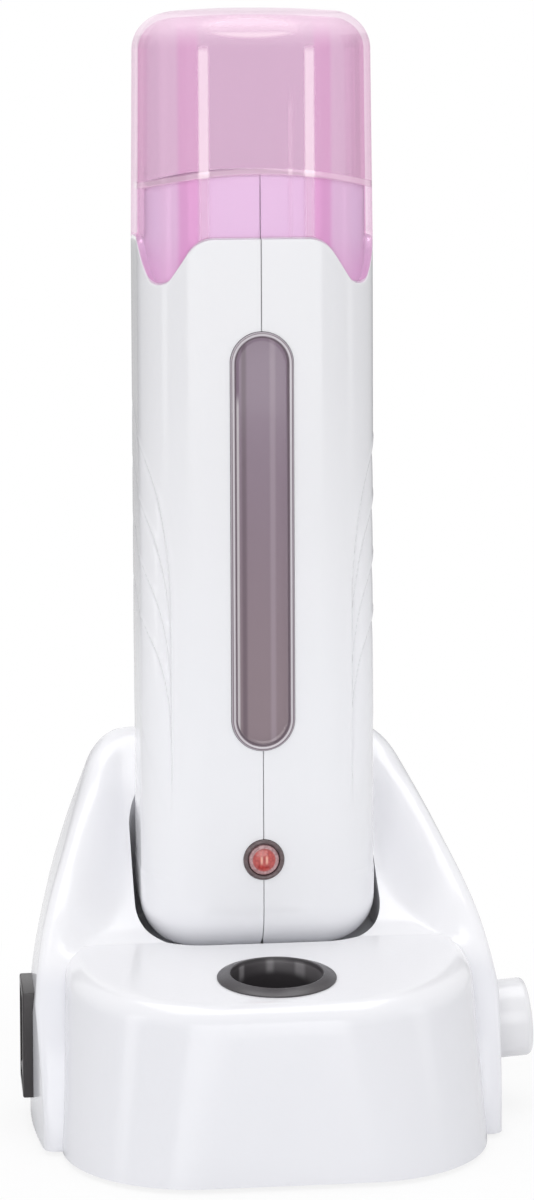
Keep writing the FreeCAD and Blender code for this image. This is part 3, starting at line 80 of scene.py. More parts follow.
class Finish:
    """A material or a world, built up node by node."""

    def __init__(self, name, store=None):
        self.name = name
        self.owner = (bpy.data.materials if store is None else store).new(name)
        self.owner.use_nodes = True
        self.tree = self.owner.node_tree
        self.tree.nodes.clear()

    def add(self, kind, sockets=None, output=0, **settings):
        """A node of any kind: its settings first, then the values or links of its sockets."""
        node = self.tree.nodes.new("ShaderNode" + kind)
        for name, value in settings.items():
            setattr(node, name, value)
        for name, value in (sockets or {}).items():
            if isinstance(value, Value):
                self.tree.links.new(value.socket, node.inputs[name])
            else:
                node.inputs[name].default_value = value
        return Value(self, node.outputs[output]) if node.outputs else None

    def place(self, scale=(1, 1, 1), shift=(0, 0, 0)):
        """The point on the piece, in its own coordinates."""
        point = self.add("TexCoord", output="Object")
        return self.add("Mapping", {"Vector": point, "Scale": scale, "Location": shift})

    def parts(self, point, axes):
        """The coordinates of a point along the named axes."""
        return [self.add("SeparateXYZ", {"Vector": point}, axis) for axis in axes]

    def noise(self, scale, detail=2.0, roughness=0.5, point=None):
        """Cloudy pattern from 0 to 1."""
        return self.add("TexNoise", {"Vector": point or self.place(), "Scale": scale,
                                     "Detail": detail, "Roughness": roughness})

    def cells(self, scale, **settings):
        """Distance from the middles of small cells."""
        return self.add("TexVoronoi", {"Vector": self.place(), "Scale": scale}, **settings)

    def maths(self, operation, *values):
        return self.add("Math", dict(enumerate(values)), operation=operation)

    def band(self, value, low, high, into_low=0.0, into_high=1.0):
        """Value moved smoothly from one range into another."""
        return self.add("MapRange", {"Value": value, "From Min": low, "From Max": high,
                                     "To Min": into_low, "To Max": into_high},
                        interpolation_type="SMOOTHSTEP")

    def stripes(self, value, *spans):
        """1 inside the spans (low, high, softness of the edges) and 0 outside."""
        first, *others = [self.band(value, low - soft, low + soft)
                          * self.band(value, high - soft, high + soft, 1.0, 0.0)
                          for low, high, soft in spans]
        return sum(others, first)

    def beyond(self, value, limit):
        """How far a value lies past a limit on either side, or 0."""
        return self.maths("MAXIMUM", self.maths("ABSOLUTE", value) - limit, 0.0)

    def length(self, vector):
        return self.add("VectorMath", {0: vector}, "Value", operation="LENGTH")

    def reach(self, first, second):
        """Distance from where both values are 0."""
        return self.length(self.add("CombineXYZ", {"X": first, "Y": second}))

    def blend(self, share, first, second):
        """Colour between two colours."""
        return self.add("Mix", {0: share, 6: first, 7: second}, 2, data_type="RGBA")

    def surface(self, colour, roughness, height=None, depth=0.0, **constants):
        """The plain surface shader, with bumps; constants are named like its inputs, _ for a space."""
        sockets = {name.replace("_", " "): value for name, value in constants.items()}
        sockets.update({"Base Color": colour, "Roughness": roughness})
        if height:
            sockets["Normal"] = self.add("Bump", {"Height": height, "Distance": depth})
        return self.add("BsdfPrincipled", sockets)

    def tint(self, colour):
        """Clear layer of one colour."""
        return self.add("BsdfTransparent", {"Color": colour})

    def layered(self, share, under, over):
        """One shader over another by a share."""
        return self.add("MixShader", {0: share, 1: under, 2: over})

    def finished(self, shader, kind="Material"):
        """The shader joined to the output; what it belongs to is kept by its name."""
        self.add("Output" + kind, {"Surface": shader})
        FINISHES[self.name] = self.owner
        return self.owner


def rgb(red, green, blue):
    """Linear colour from the 0..255 values of a swatch."""
    def linear(part):
        part /= 255.0
        return part / 12.92 if part <= 0.04045 else ((part + 0.055) / 1.055) ** 2.4
    return (linear(red), linear(green), linear(blue), 1.0)


def grey(level, blue=0.0):
    return (level, level, level + blue, 1.0)


def moulded_plastic(name, light, dark, gloss, painted_light_by_height=None):
    """Moulded plastic: slow drift of shade, fine skin texture, roughness that wanders a little.

    The last argument is painted light and shade: another shade and the two heights between which it comes
    in.
    """
    finish = Finish(name)
    skin = finish.noise(900.0, 3.0)
    rubs = finish.band(finish.noise(60.0, 5.0, 0.7), 0.35, 0.75)
    shade = finish.blend(finish.noise(14.0, 3.0), dark, light)
    # Painted light and shade: the colour changes with height so the piece renders evenly bright low and
    # high.
    if painted_light_by_height:
        upper, start, end = painted_light_by_height
        height, = finish.parts(finish.place(), "Z")
        shade = finish.blend(finish.band(height, start, end), shade, upper)
    finish.finished(finish.surface(shade, gloss + 0.05 * rubs + 0.03 * skin, skin, 0.000012, IOR=1.5))


def satin_black(name, light, dark, gloss):
    """Black moulding with a fine spark-eroded skin."""
    finish = Finish(name)
    skin = finish.noise(2600.0, 2.0)
    shade = finish.blend(finish.noise(35.0, 3.0), dark, light)
    finish.finished(finish.surface(shade, gloss + 0.12 * skin, skin, 0.00003))


def well_black():
    """Black cup: darker rim, and an inner wall painted paler, with painted shade across it and painted
    upright reflections.
    """
    finish = Finish("well_black")
    point = finish.place(shift=(0.0, -WELL_Y * MM, 0.0))
    across, depth, level = finish.parts(point, "XYZ")
    wall_radius = (WELL_RADIUS + 0.1) * MM
    # Where the colour is painted lighter: the cup's inner wall.
    inside = (finish.band(finish.reach(across, depth) - wall_radius, -0.00005, 0.00005, 1.0, 0.0)
              * finish.band(level, 0.030, 0.037))
    # Painted reflections: upright light streaks on the inner wall.
    painted_streaks = finish.stripes(across, (-0.0078, -0.0066, 0.0004), (-0.0012, 0.0004, 0.0006),
                             (0.0052, 0.0072, 0.0005))
    # Painted shade: the inner wall darker on the left and lighter on the right.
    wall = finish.blend(finish.band(across, -0.009, 0.006), rgb(72, 69, 72), rgb(106, 103, 106))
    wall = finish.blend(painted_streaks * 0.7, wall, rgb(158, 155, 158))
    skin = finish.noise(2600.0, 2.0)
    outside = finish.blend(finish.noise(35.0, 3.0), rgb(60, 57, 60), rgb(70, 67, 70))
    shade = finish.blend(inside, outside, wall)
    finish.finished(finish.surface(shade, 0.26 + 0.12 * skin, skin, 0.00003))


def clear_pink():
    """Thin clear pink wall with painted light and shade: lighter over the neck and painted greyer where it
    is empty, deeper pink low down, painted lighter at the crown, with soft upright painted bands and
    painted highlights.
    """
    finish = Finish("clear_pink")
    across, depth, height = finish.parts(finish.place(), "XYZ")
    front = finish.band(depth, -0.004, 0.004, 1.0, 0.0)
    rim = finish.add("LayerWeight", {"Blend": 0.30}, "Facing")
    neck_bend, neck_rim = 4.6, 0.2196
    over_rim = height + across * across * neck_bend - neck_rim
    # Painted shade: above the neck's rim, where the cap is empty, the clear wall is tinted greyer.
    empty = finish.band(over_rim, -0.0004, 0.0004)
    lobe = finish.band(height, 0.196, 0.207, 1.0, 0.0)
    # Painted light: the cap's crown is painted lighter.
    crown = finish.band(height, 0.2480, 0.2550)
    # Painted light and shade: upright pale and deep bands on the front half.
    pale = finish.stripes(across, (-0.0229, -0.0189, 0.0007), (0.0164, 0.0214, 0.0007))
    deep = finish.stripes(across, (-0.0189, -0.0142, 0.0007), (0.0124, 0.0164, 0.0007))
    through = finish.tint((1.0, 0.915, 0.992, 1.0))
    # Layers of tint: painted greyer where empty, deeper pink low down, painted deep and pale bands, pinker
    # at grazing angles, painted lighter at the crown.
    for share, colour in (
            (empty, (0.905, 0.820, 0.885, 1.0)),
            (lobe * 0.5, (1.0, 0.84, 0.96, 1.0)),
            (deep * front * 0.5, (0.97, 0.74, 0.90, 1.0)),
            (pale * front * 0.35, (1.0, 0.90, 0.97, 1.0)),
            (finish.band(rim, 0.2, 0.9) * 0.8, (0.985, 0.845, 0.93, 1.0)),
            (crown * 0.85, (1.0, 0.945, 0.985, 1.0))):
        through = finish.layered(share, through, finish.tint(colour))

    # Painted highlights on the front: upright streaks, a low streak, an oval under the top and a light line
    # over the neck's rim.
    painted_streaks = finish.stripes(across, (-0.0143, -0.0119, 0.0004), (0.0101, 0.0124, 0.0004))
    painted_low_streak = finish.stripes(across, (0.0063, 0.0073, 0.0003))
    painted_low_streak = painted_low_streak * finish.band(height, 0.234, 0.240, 0.35, 0.0)
    below_crown = finish.band(height, 0.2475, 0.2500, 1.0, 0.0)
    above_neck = finish.band(height, 0.219, 0.221, 0.4, 0.9)
    oval = finish.reach((across + 0.0018) / 0.0122, (height - 0.2533) / 0.0026)
    painted_oval_highlight = finish.band(oval, 0.72, 1.12, 0.95, 0.0)
    painted_rim_line = finish.stripes(over_rim, (0.0001, 0.0016, 0.0003)) * 0.6
    painted_highlights = ((painted_streaks + painted_low_streak) * below_crown * above_neck + painted_oval_highlight + painted_rim_line) * front

    ripple = finish.noise(26.0, 2.0)
    # Painted light: the skin lighter at the crown and where the painted highlights lie.
    shade = finish.blend(crown, rgb(232, 172, 212), rgb(252, 222, 240))
    shade = finish.blend(painted_highlights, shade, rgb(252, 226, 240))
    skin = finish.surface(shade, 0.06 + 0.05 * ripple, ripple, 0.0002, IOR=1.49)
    gloss = finish.surface((1.0, 0.90, 0.96, 1.0), 0.05 + 0.04 * ripple, Metallic=1.0)
    from_core = finish.reach(finish.beyond(across, 0.0132), finish.beyond(depth, 0.0085))
    outer = finish.maths("MAXIMUM", finish.band(from_core, 0.0131, 0.0134),
                         finish.band(height, 0.2567, 0.2570))
    share = (finish.band(rim, 0.05, 1.0, 0.03, 0.21) * (0.7 + 0.3 * outer)
             + finish.band(rim, 0.80, 0.97) * (0.24 + 0.24 * outer)
             + crown * 0.07 + painted_highlights * (0.2 + 0.55 * outer))
    mirror = finish.add("Fresnel", {"IOR": 1.35})
    finish.finished(finish.layered(mirror * outer * 0.2, finish.layered(share, through, skin), gloss))


def smoky_lens():
    """Smoky window: clear rim in fine rings, pane with painted upright bands of shade and light where the
    sleeve's slot walls would be, and a painted glint; the pane a little darker and bluer towards the top.
    """
    finish = Finish("smoky_lens")
    across, height = finish.parts(finish.place(), "XZ")
    pane = finish.blend(finish.band(height, 0.09, 0.18), rgb(150, 132, 140), rgb(146, 126, 144))
    # A painted highlight: a thin upright glint on the left, below the top.
    painted_glint = finish.stripes(across, (-0.0059, -0.0053, 0.0002)) * finish.band(height, 0.166, 0.170, 1.0, 0.0)
    # Painted shade and light: a dark band where the slot's left wall would lie in shadow, a light band
    # where its right wall would be lit, and the painted glint.
    for share, colour in (
            (finish.stripes(across, (-0.0047, -0.0036, 0.0004)) * 0.75, rgb(108, 90, 102)),
            (finish.stripes(across, (0.0019, 0.0031, 0.0004)) * 0.5, rgb(178, 162, 174)),
            (painted_glint * 0.85, rgb(232, 226, 230))):
        pane = finish.blend(share, pane, colour)
    reach = finish.reach(across, finish.beyond(height - WINDOW_MIDDLE * MM, WINDOW_STRAIGHT * MM))
    rings = finish.blend(finish.stripes(reach, (0.00640, 0.00685, 0.0001)),
                         rgb(118, 104, 114), rgb(206, 200, 206))
    rings = finish.blend(finish.band(reach, 0.00702, 0.00712), rings, rgb(168, 160, 168))
    shade = finish.blend(finish.band(reach, 0.00575, 0.00595), pane, rings)
    skin = finish.surface(shade, 0.06 + 0.06 * finish.noise(40.0, 3.0), IOR=1.5, Coat_Weight=0.4)
    share = finish.band(reach, 0.0057, 0.0060, 0.82, 0.95)
    finish.finished(finish.layered(share, finish.tint((0.60, 0.50, 0.58, 1.0)), skin))


def clear_red():
    """Pilot lamp lens: faceted clear ring round a glossy red core with painted glints."""
    finish = Finish("clear_red")
    across, height = finish.parts(finish.place(), "XZ")
    over = height - LAMP_HEIGHT * MM
    facets = finish.cells(1500.0)
    core = finish.blend(facets, rgb(206, 88, 82), rgb(160, 56, 56))
    # Painted highlights: two small bright glints on the red core.
    painted_glints = (finish.stripes(across, (-0.00085, -0.00035, 0.0002), (0.00035, 0.00085, 0.0002))
              * finish.stripes(over, (-0.0008, 0.0009, 0.0005)))
    core = finish.blend(painted_glints * 0.8, core, rgb(250, 190, 170))
    ring = finish.blend(facets, rgb(206, 168, 170), rgb(150, 108, 112))
    shade = finish.blend(finish.band(finish.reach(across, over), 0.00245, 0.00285), core, ring)
    finish.finished(finish.surface(shade, 0.08 + 0.05 * facets, facets, 0.00005, Coat_Weight=0.5))


def lamp_ring():
    """Dark moulded ring with a lighter, pearled edge."""
    finish = Finish("lamp_ring")
    pearls = finish.cells(1100.0)
    shade = finish.blend(pearls, rgb(112, 96, 98), rgb(84, 70, 72))
    finish.finished(finish.surface(shade, 0.18 + 0.1 * pearls, pearls, 0.00006))


def clear_glass():
    """Neon lamp bulb: clear wall with a warm core."""
    finish = Finish("clear_glass")
    waves = finish.noise(300.0, 2.0)
    shade = finish.blend(waves, rgb(240, 214, 196), rgb(250, 232, 220))
    facing = finish.add("LayerWeight", {"Blend": 0.4}, "Facing")
    finish.finished(finish.layered(finish.band(facing, 0.0, 1.0, 0.2, 0.9),
                                   finish.tint((0.97, 0.90, 0.86, 1.0)),
                                   finish.surface(shade, 0.05 + 0.04 * waves)))


def worked_metal(name, light, dark, rough, stretch=(1.0, 1.0, 1.0)):
    """Metal with fine lines along one direction."""
    finish = Finish(name)
    lines = finish.noise(700.0, 3.0, 0.6, finish.place(scale=stretch))
    shade = finish.blend(finish.noise(50.0, 4.0, 0.6), dark, light)
    finish.finished(finish.surface(shade, rough + 0.15 * lines, lines, 0.000008, Metallic=1.0))


def matt(name, light, dark, rough, scale=400.0, depth=0.00003):
    """Matt surface with a fine grain."""
    finish = Finish(name)
    grain = finish.noise(scale, 4.0, 0.6)
    finish.finished(finish.surface(finish.blend(grain, dark, light), rough + 0.1 * grain, grain, depth))


def circuit_board():
    """Green solder mask over copper tracks."""
    finish = Finish("circuit_board")
    on_track = finish.band(finish.cells(260.0, distance="CHEBYCHEV", feature="F1"), 0.28, 0.34)
    shade = finish.blend(on_track, rgb(52, 122, 66), rgb(28, 84, 44))
    finish.finished(finish.surface(shade, 0.32 + 0.1 * on_track, on_track, 0.00003))


def insulated_leads(name, left, right):
    """Lead insulation, one colour on each side of the middle."""
    finish = Finish(name)
    across, = finish.parts(finish.place(), "X")
    fine = finish.noise(1200.0, 2.0)
    shade = finish.blend(finish.band(across, -0.0001, 0.0001), left, right)
    finish.finished(finish.surface(shade, 0.4 + 0.12 * fine, fine, 0.00002))


# Painted light and shade: the heater's shell is painted paler low down and darker above, and the base paler
# from the deck up.
SHELL_PAINTED_LIGHT_BY_HEIGHT = (rgb(230, 230, 233), 0.070, 0.190)
BASE_PAINTED_LIGHT_BY_HEIGHT = (rgb(241, 241, 244), 0.034, 0.041)

moulded_plastic("white_shell", rgb(245, 245, 248), rgb(237, 238, 242), 0.10, SHELL_PAINTED_LIGHT_BY_HEIGHT)
moulded_plastic("white_base", rgb(235, 235, 239), rgb(226, 227, 232), 0.13, BASE_PAINTED_LIGHT_BY_HEIGHT)
moulded_plastic("white_knob", rgb(234, 234, 236), rgb(226, 226, 229), 0.16)
moulded_plastic("white_floor", rgb(222, 222, 226), rgb(214, 214, 218), 0.32)
satin_black("black_satin", rgb(50, 46, 48), rgb(38, 35, 37), 0.28)
satin_black("dark_gloss", rgb(74, 66, 72), rgb(60, 53, 58), 0.16)
well_black()
clear_pink()
smoky_lens()
clear_red()
lamp_ring()
clear_glass()
worked_metal("steel", grey(0.62, 0.01), grey(0.50, 0.02), 0.28)
worked_metal("spun_steel", grey(0.66, 0.01), grey(0.56, 0.02), 0.22)
worked_metal("brass", (0.80, 0.62, 0.30, 1.0), (0.66, 0.48, 0.22, 1.0), 0.25)
worked_metal("aluminium", grey(0.70, 0.02), grey(0.60, 0.03), 0.30, (1.0, 1.0, 0.02))
circuit_board()
matt("grey_rubber", rgb(92, 92, 95), rgb(70, 70, 74), 0.75, 900.0, 0.00008)
matt("yellow_body", rgb(224, 188, 70), rgb(206, 168, 52), 0.40)
matt("mica", rgb(206, 190, 140), rgb(178, 158, 108), 0.45, 150.0)
matt("black_body", rgb(48, 48, 50), rgb(34, 34, 36), 0.50, 1500.0)
insulated_leads("base_leads", rgb(52, 92, 158), rgb(128, 78, 44))
insulated_leads("heater_leads", rgb(222, 222, 220), rgb(196, 60, 52))

DRESSED = {
    "white_shell": "left_shell right_shell",
    "white_base": "base_housing",
    "white_knob": "temperature_knob",
    "white_floor": "base_bottom_plate",
    "black_satin": "switch_housing switch_rocker dock_contact_block mains_inlet heater_inlet",
    "dark_gloss": "chamber_floor chamber_collar",
    "well_black": "tool_well_liner",
    "clear_pink": "cap",
    "smoky_lens": "window_lens",
    "clear_red": "pilot_lamp_lens",
    "lamp_ring": "pilot_lamp_bezel",
    "clear_glass": "pilot_lamp",
    "steel": "base_screws shell_screws potentiometer_nut element_clamp",
    "spun_steel": "potentiometer_body potentiometer_shaft thermostat thermal_fuse",
    "brass": "switch_terminals dock_contact_sleeves mains_inlet_pins heater_inlet_pins",
    "aluminium": "heating_sleeve",
    "circuit_board": "control_board",
    "grey_rubber": "rubber_feet",
    "yellow_body": "board_capacitor",
    "mica": "heating_element",
    "black_body": "board_relay board_triac",
    "base_leads": "base_wires",
    "heater_leads": "heater_wires",
}


def dress(piece, finish):
    """The finish in every material slot of a piece."""
    mesh = piece.data
    if not mesh.materials:
        mesh.materials.append(FINISHES[finish])
    for place in range(len(mesh.materials)):
        mesh.materials[place] = FINISHES[finish]


for finish, nodes in DRESSED.items():
    for node in nodes.split():
        dress(NODES[node], finish)


# ---------------------------------------------------------------- making pieces

def mixed(first, second, share):
    return first + (second - first) * share


def eased(value, low, high):
    """0 below low, 1 above high, smooth between."""
    share = min(1.0, max(0.0, (value - low) / (high - low)))
    return share * share * (3.0 - 2.0 * share)


def steps(count):
    """The shares of a run after each of its steps, up to 1."""
    return [step / count for step in range(1, count + 1)]


def folded(column, half):
    """Step along the right half of an outline, and 1 there or -1 on its mirrored left half."""
    return (2 * half - column, -1) if column > half else (column, 1)


def sheet(columns, rows, place):
    """A grid whose corners are moved to place(column, row)."""
    form = bmesh.new()
    bmesh.ops.create_grid(form, x_segments=columns, y_segments=rows, size=0.5)
    for corner in form.verts:
        column, row = round((corner.co.x + 0.5) * columns), round((corner.co.y + 0.5) * rows)
        corner.co = [part * MM for part in place(column, row)]
    return form


def closed_up(form):
    """Seams and poles merged, open ends filled, faces turned outwards."""
    bmesh.ops.remove_doubles(form, verts=form.verts, dist=2e-6)
    bmesh.ops.dissolve_degenerate(form, edges=form.edges, dist=1e-7)
    open_edges = [edge for edge in form.edges if edge.is_boundary]
    if open_edges:
        bmesh.ops.holes_fill(form, edges=open_edges, sides=0)
    bmesh.ops.recalc_face_normals(form, faces=form.faces)
    return form


def turned(points, count=96):
    """Points (radius, height) spun about Z."""
    form = bmesh.new()
    line = [form.verts.new((radius * MM, 0.0, height * MM)) for radius, height in points]
    edges = [form.edges.new(pair) for pair in zip(line, line[1:])]
    bmesh.ops.spin(form, geom=line + edges, cent=(0, 0, 0), axis=(0, 0, 1), dvec=(0, 0, 0),
                   angle=math.tau, steps=count, use_merge=True, use_duplicate=False)
    return closed_up(form)


def arc(middle_x, middle_y, radius, first, last, count):
    """Points of an arc, angles in degrees."""
    angles = [math.radians(mixed(first, last, step / count)) for step in range(count + 1)]
    return [(middle_x + radius * math.cos(angle), middle_y + radius * math.sin(angle)) for angle in angles]


def bar(low, high):
    """Box between two corners."""
    form = bmesh.new()
    bmesh.ops.create_cube(form, size=1.0)
    size = [(b - a) * MM for a, b in zip(low, high)]
    middle = [(a + b) / 2 * MM for a, b in zip(low, high)]
    bmesh.ops.scale(form, vec=size, verts=form.verts)
    bmesh.ops.translate(form, vec=middle, verts=form.verts)
    return form


def set_on(form, start, direction):
    """A form that stands on the origin, moved to a start and turned to a direction."""
    turn = Vector((0, 0, 1)).rotation_difference(Vector(direction)).to_matrix().to_4x4()
    bmesh.ops.transform(form, matrix=Matrix.Translation(Vector(start) * MM) @ turn, verts=form.verts)
    return form


def rod(start, direction, radius, first, last, sides=64):
    """Round bar on an axis between two distances from its start."""
    form = bmesh.new()
    bmesh.ops.create_cone(form, cap_ends=True, segments=sides, radius1=radius * MM, radius2=radius * MM,
                          depth=(last - first) * MM)
    middle = Vector(start) + Vector(direction).normalized() * (first + last) / 2
    return set_on(form, middle, direction)


def drawn_out(form, shift):
    """A flat form drawn out into a solid along a shift."""
    grown = bmesh.ops.extrude_face_region(form, geom=form.faces[:])
    moved = [item for item in grown["geom"] if isinstance(item, bmesh.types.BMVert)]
    bmesh.ops.translate(form, vec=[part * MM for part in shift], verts=moved)
    bmesh.ops.recalc_face_normals(form, faces=form.faces)
    return form


def solid_of(name, form):
    """An object with the form's mesh; the form is used up."""
    mesh = bpy.data.meshes.new(name)
    form.to_mesh(mesh)
    form.free()
    piece = bpy.data.objects.new(name, mesh)
    bpy.context.scene.collection.objects.link(piece)
    return piece


def combine(operation, piece, *tools):
    """The piece joined with or cut by tools, forms or objects, which are used up."""
    for tool in tools:
        if isinstance(tool, bmesh.types.BMesh):
            tool = solid_of("tool", tool)
        change = piece.modifiers.new("combine", "BOOLEAN")
        change.operation = operation
        change.solver = "EXACT"
        change.object = tool
        graph = bpy.context.evaluated_depsgraph_get()
        result = bpy.data.meshes.new_from_object(piece.evaluated_get(graph))
        piece.modifiers.clear()
        spent = [piece.data, tool.data]
        piece.data = result
        bpy.data.objects.remove(tool)
        for mesh in spent:
            bpy.data.meshes.remove(mesh)


def mended(piece):
    """The piece with slivers merged and pinholes filled, after it has been cut."""
    form = bmesh.new()
    form.from_mesh(piece.data)
    closed_up(form)
    form.to_mesh(piece.data)
    form.free()
    return piece


def settle(piece, finish, body, node, sharp=32.0):
    """Finish, body and material slot of a new piece, and the node that it stands for."""
    piece.data.shade_smooth()
    piece.data.set_sharp_from_angle(angle=math.radians(sharp))
    piece.data.materials.clear()
    piece.data.materials.append(FINISHES[finish])
    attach(piece, body)
    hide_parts(node)


# ---------------------------------------------------------------- heater body

SEAT, FOOT_ROUND = 38.2, 11.0
SHOULDER, LOBE_DROP = 205.0, 10.5
NECK_INSET, NECK_WALL, NECK_TOP, NECK_DIP = 1.9, 1.2, 220.0, 3.4
NECK_FOOT, WALL_TOP, SHELL_WALL = 192.5, 190.9, 1.8
SOCKET_HALF_X, SOCKET_HALF_Y = 10.2, 5.2
# The parting line: columns of corners beside it, half its width and its depth, and its wider foot.
NEAR_SEAM = (0.08, 0.30, 0.7)
SEAM_HALF, SEAM_DEPTH, SEAM_FOOT, SEAM_FOOT_TOP = 0.08, 0.16, 0.45, 41.0
# Outline of a half shell: straight front and back, two corners, straight side.
FRONT_RUN = BODY_HALF_X - BODY_CORNER
CORNER_RUN = BODY_CORNER * math.pi / 2
SIDE_RUN = 2 * (BODY_HALF_Y - BODY_CORNER)
HALF_RUN = 2 * FRONT_RUN + 2 * CORNER_RUN + SIDE_RUN


def round_section(run, half_x, half_y, corner):
    """Point on the right half of a rounded rectangle; run goes along the body's outline from the front."""
    if run > HALF_RUN / 2:
        x, y = round_section(HALF_RUN - run, half_x, half_y, corner)
        return x, -y
    flat_x, flat_y = half_x - corner, half_y - corner
    if run <= FRONT_RUN:
        return run / FRONT_RUN * flat_x, -half_y
    run -= FRONT_RUN
    if run <= CORNER_RUN:
        angle = run / CORNER_RUN * math.pi / 2
        return flat_x + corner * math.sin(angle), -flat_y - corner * math.cos(angle)
    return half_x, ((run - CORNER_RUN) / SIDE_RUN * 2 - 1) * flat_y


def body_section(run, inset):
    """Point on the body's outline, moved inwards by an inset."""
    return round_section(run, BODY_HALF_X - inset, BODY_HALF_Y - inset, max(BODY_CORNER - inset, 0.4))


# The wavy edge: its bends as shares of the stretch between arch and lobe, and half of the level arch.
ARCH_SHARE, LOBE_SHARE = 0.585, 0.257
LEVEL_FRONT, LEVEL_SIDE = 0.195 * 2 * BODY_HALF_X, 0.12 * 2 * BODY_HALF_Y


def wave(across, flat, reach):
    """Wavy edge seen from one side: level arch, bend, straight, bend, level lobe."""
    stretch = reach - flat
    arch, lobe = ARCH_SHARE * stretch, LOBE_SHARE * stretch
    slack = arch + lobe - LOBE_DROP
    slope = math.asin((arch + lobe) / math.hypot(stretch, slack)) - math.atan2(slack, stretch)
    across = abs(across)
    if across <= flat:
        return SHOULDER
    if across <= flat + arch * math.sin(slope):
        return SHOULDER - arch + math.sqrt(arch ** 2 - (across - flat) ** 2)
    if across <= reach - lobe * math.sin(slope):
        fallen = arch * (1 - math.cos(slope))
        return SHOULDER - fallen - (across - flat - arch * math.sin(slope)) * math.tan(slope)
    if across < reach:
        return SHOULDER - LOBE_DROP + lobe - math.sqrt(lobe ** 2 - (reach - across) ** 2)
    return SHOULDER - LOBE_DROP


def shoulder(x, y):
    """Height of the wavy edge over a place on the outline."""
    diagonal = BODY_CORNER * (1 - math.sqrt(0.5))
    front = wave(x, LEVEL_FRONT, BODY_HALF_X - diagonal)
    side = wave(y, LEVEL_SIDE, BODY_HALF_Y - diagonal)
    return max(front, side)


def neck_rim(x):
    """Height of the neck's rim: lower at the sides."""
    half = BODY_HALF_X - NECK_INSET
    bend = (half ** 2 + NECK_DIP ** 2) / (2 * NECK_DIP)
    return NECK_TOP - bend + math.sqrt(bend ** 2 - x ** 2)


# Top and bottom of each grip line. At its bottom a line lies GRIP_AHEAD before the flat side, it fades out
# below by the share GRIP_TAIL, and on its way up it bends and then hooks to the back.
GRIP_LINES = ((166.0, 117.0), (152.4, 104.0), (138.2, 91.5), (124.0, 82.0))
GRIP_AHEAD, GRIP_BEND, GRIP_HOOK, GRIP_TAIL = 14.5, 10.5, 21.5, -0.35
GRIP_DEPTH, GRIP_FALL, GRIP_RIDGE = 1.1, 3.2, 0.12
# The faint hollow under the lines: its top, its bottom and how far its edge sweeps back.
HOLLOW_TOP, HOLLOW_FOOT, HOLLOW_SWEEP = 112.0, 56.0, 34.0


def grip_depth(run, height):
    """How deep the grip's scales lie: each falls away behind a curved ridge."""
    ahead = FRONT_RUN + CORNER_RUN - run
    depth = 0.0
    for top, bottom in GRIP_LINES:
        share = (height - bottom) / (top - bottom)
        if share > 1.0 or share < GRIP_TAIL:
            continue
        held = max(share, 0.0)
        behind = GRIP_AHEAD - GRIP_BEND * held ** 2 - GRIP_HOOK * held ** 7 - ahead
        fade = eased(share, GRIP_TAIL, 0.1) * eased(1.0 - share, 0.0, 0.06)
        if behind > -0.3:
            fall = math.exp(-max(behind, 0.0) / GRIP_FALL)
            depth += fade * GRIP_DEPTH * eased(behind, -0.25, 0.95) * fall
        depth -= fade * GRIP_RIDGE * math.exp(-((behind + 0.6) / 0.8) ** 2)
    if HOLLOW_FOOT < height < HOLLOW_TOP:
        share = (height - HOLLOW_FOOT) / (HOLLOW_TOP - HOLLOW_FOOT)
        edge = GRIP_AHEAD - HOLLOW_SWEEP * share ** 2.2
        depth += GRIP_RIDGE * eased(edge - ahead, -1.5, 1.5) * eased(HOLLOW_TOP - height, 0.0, 30.0)
    return depth


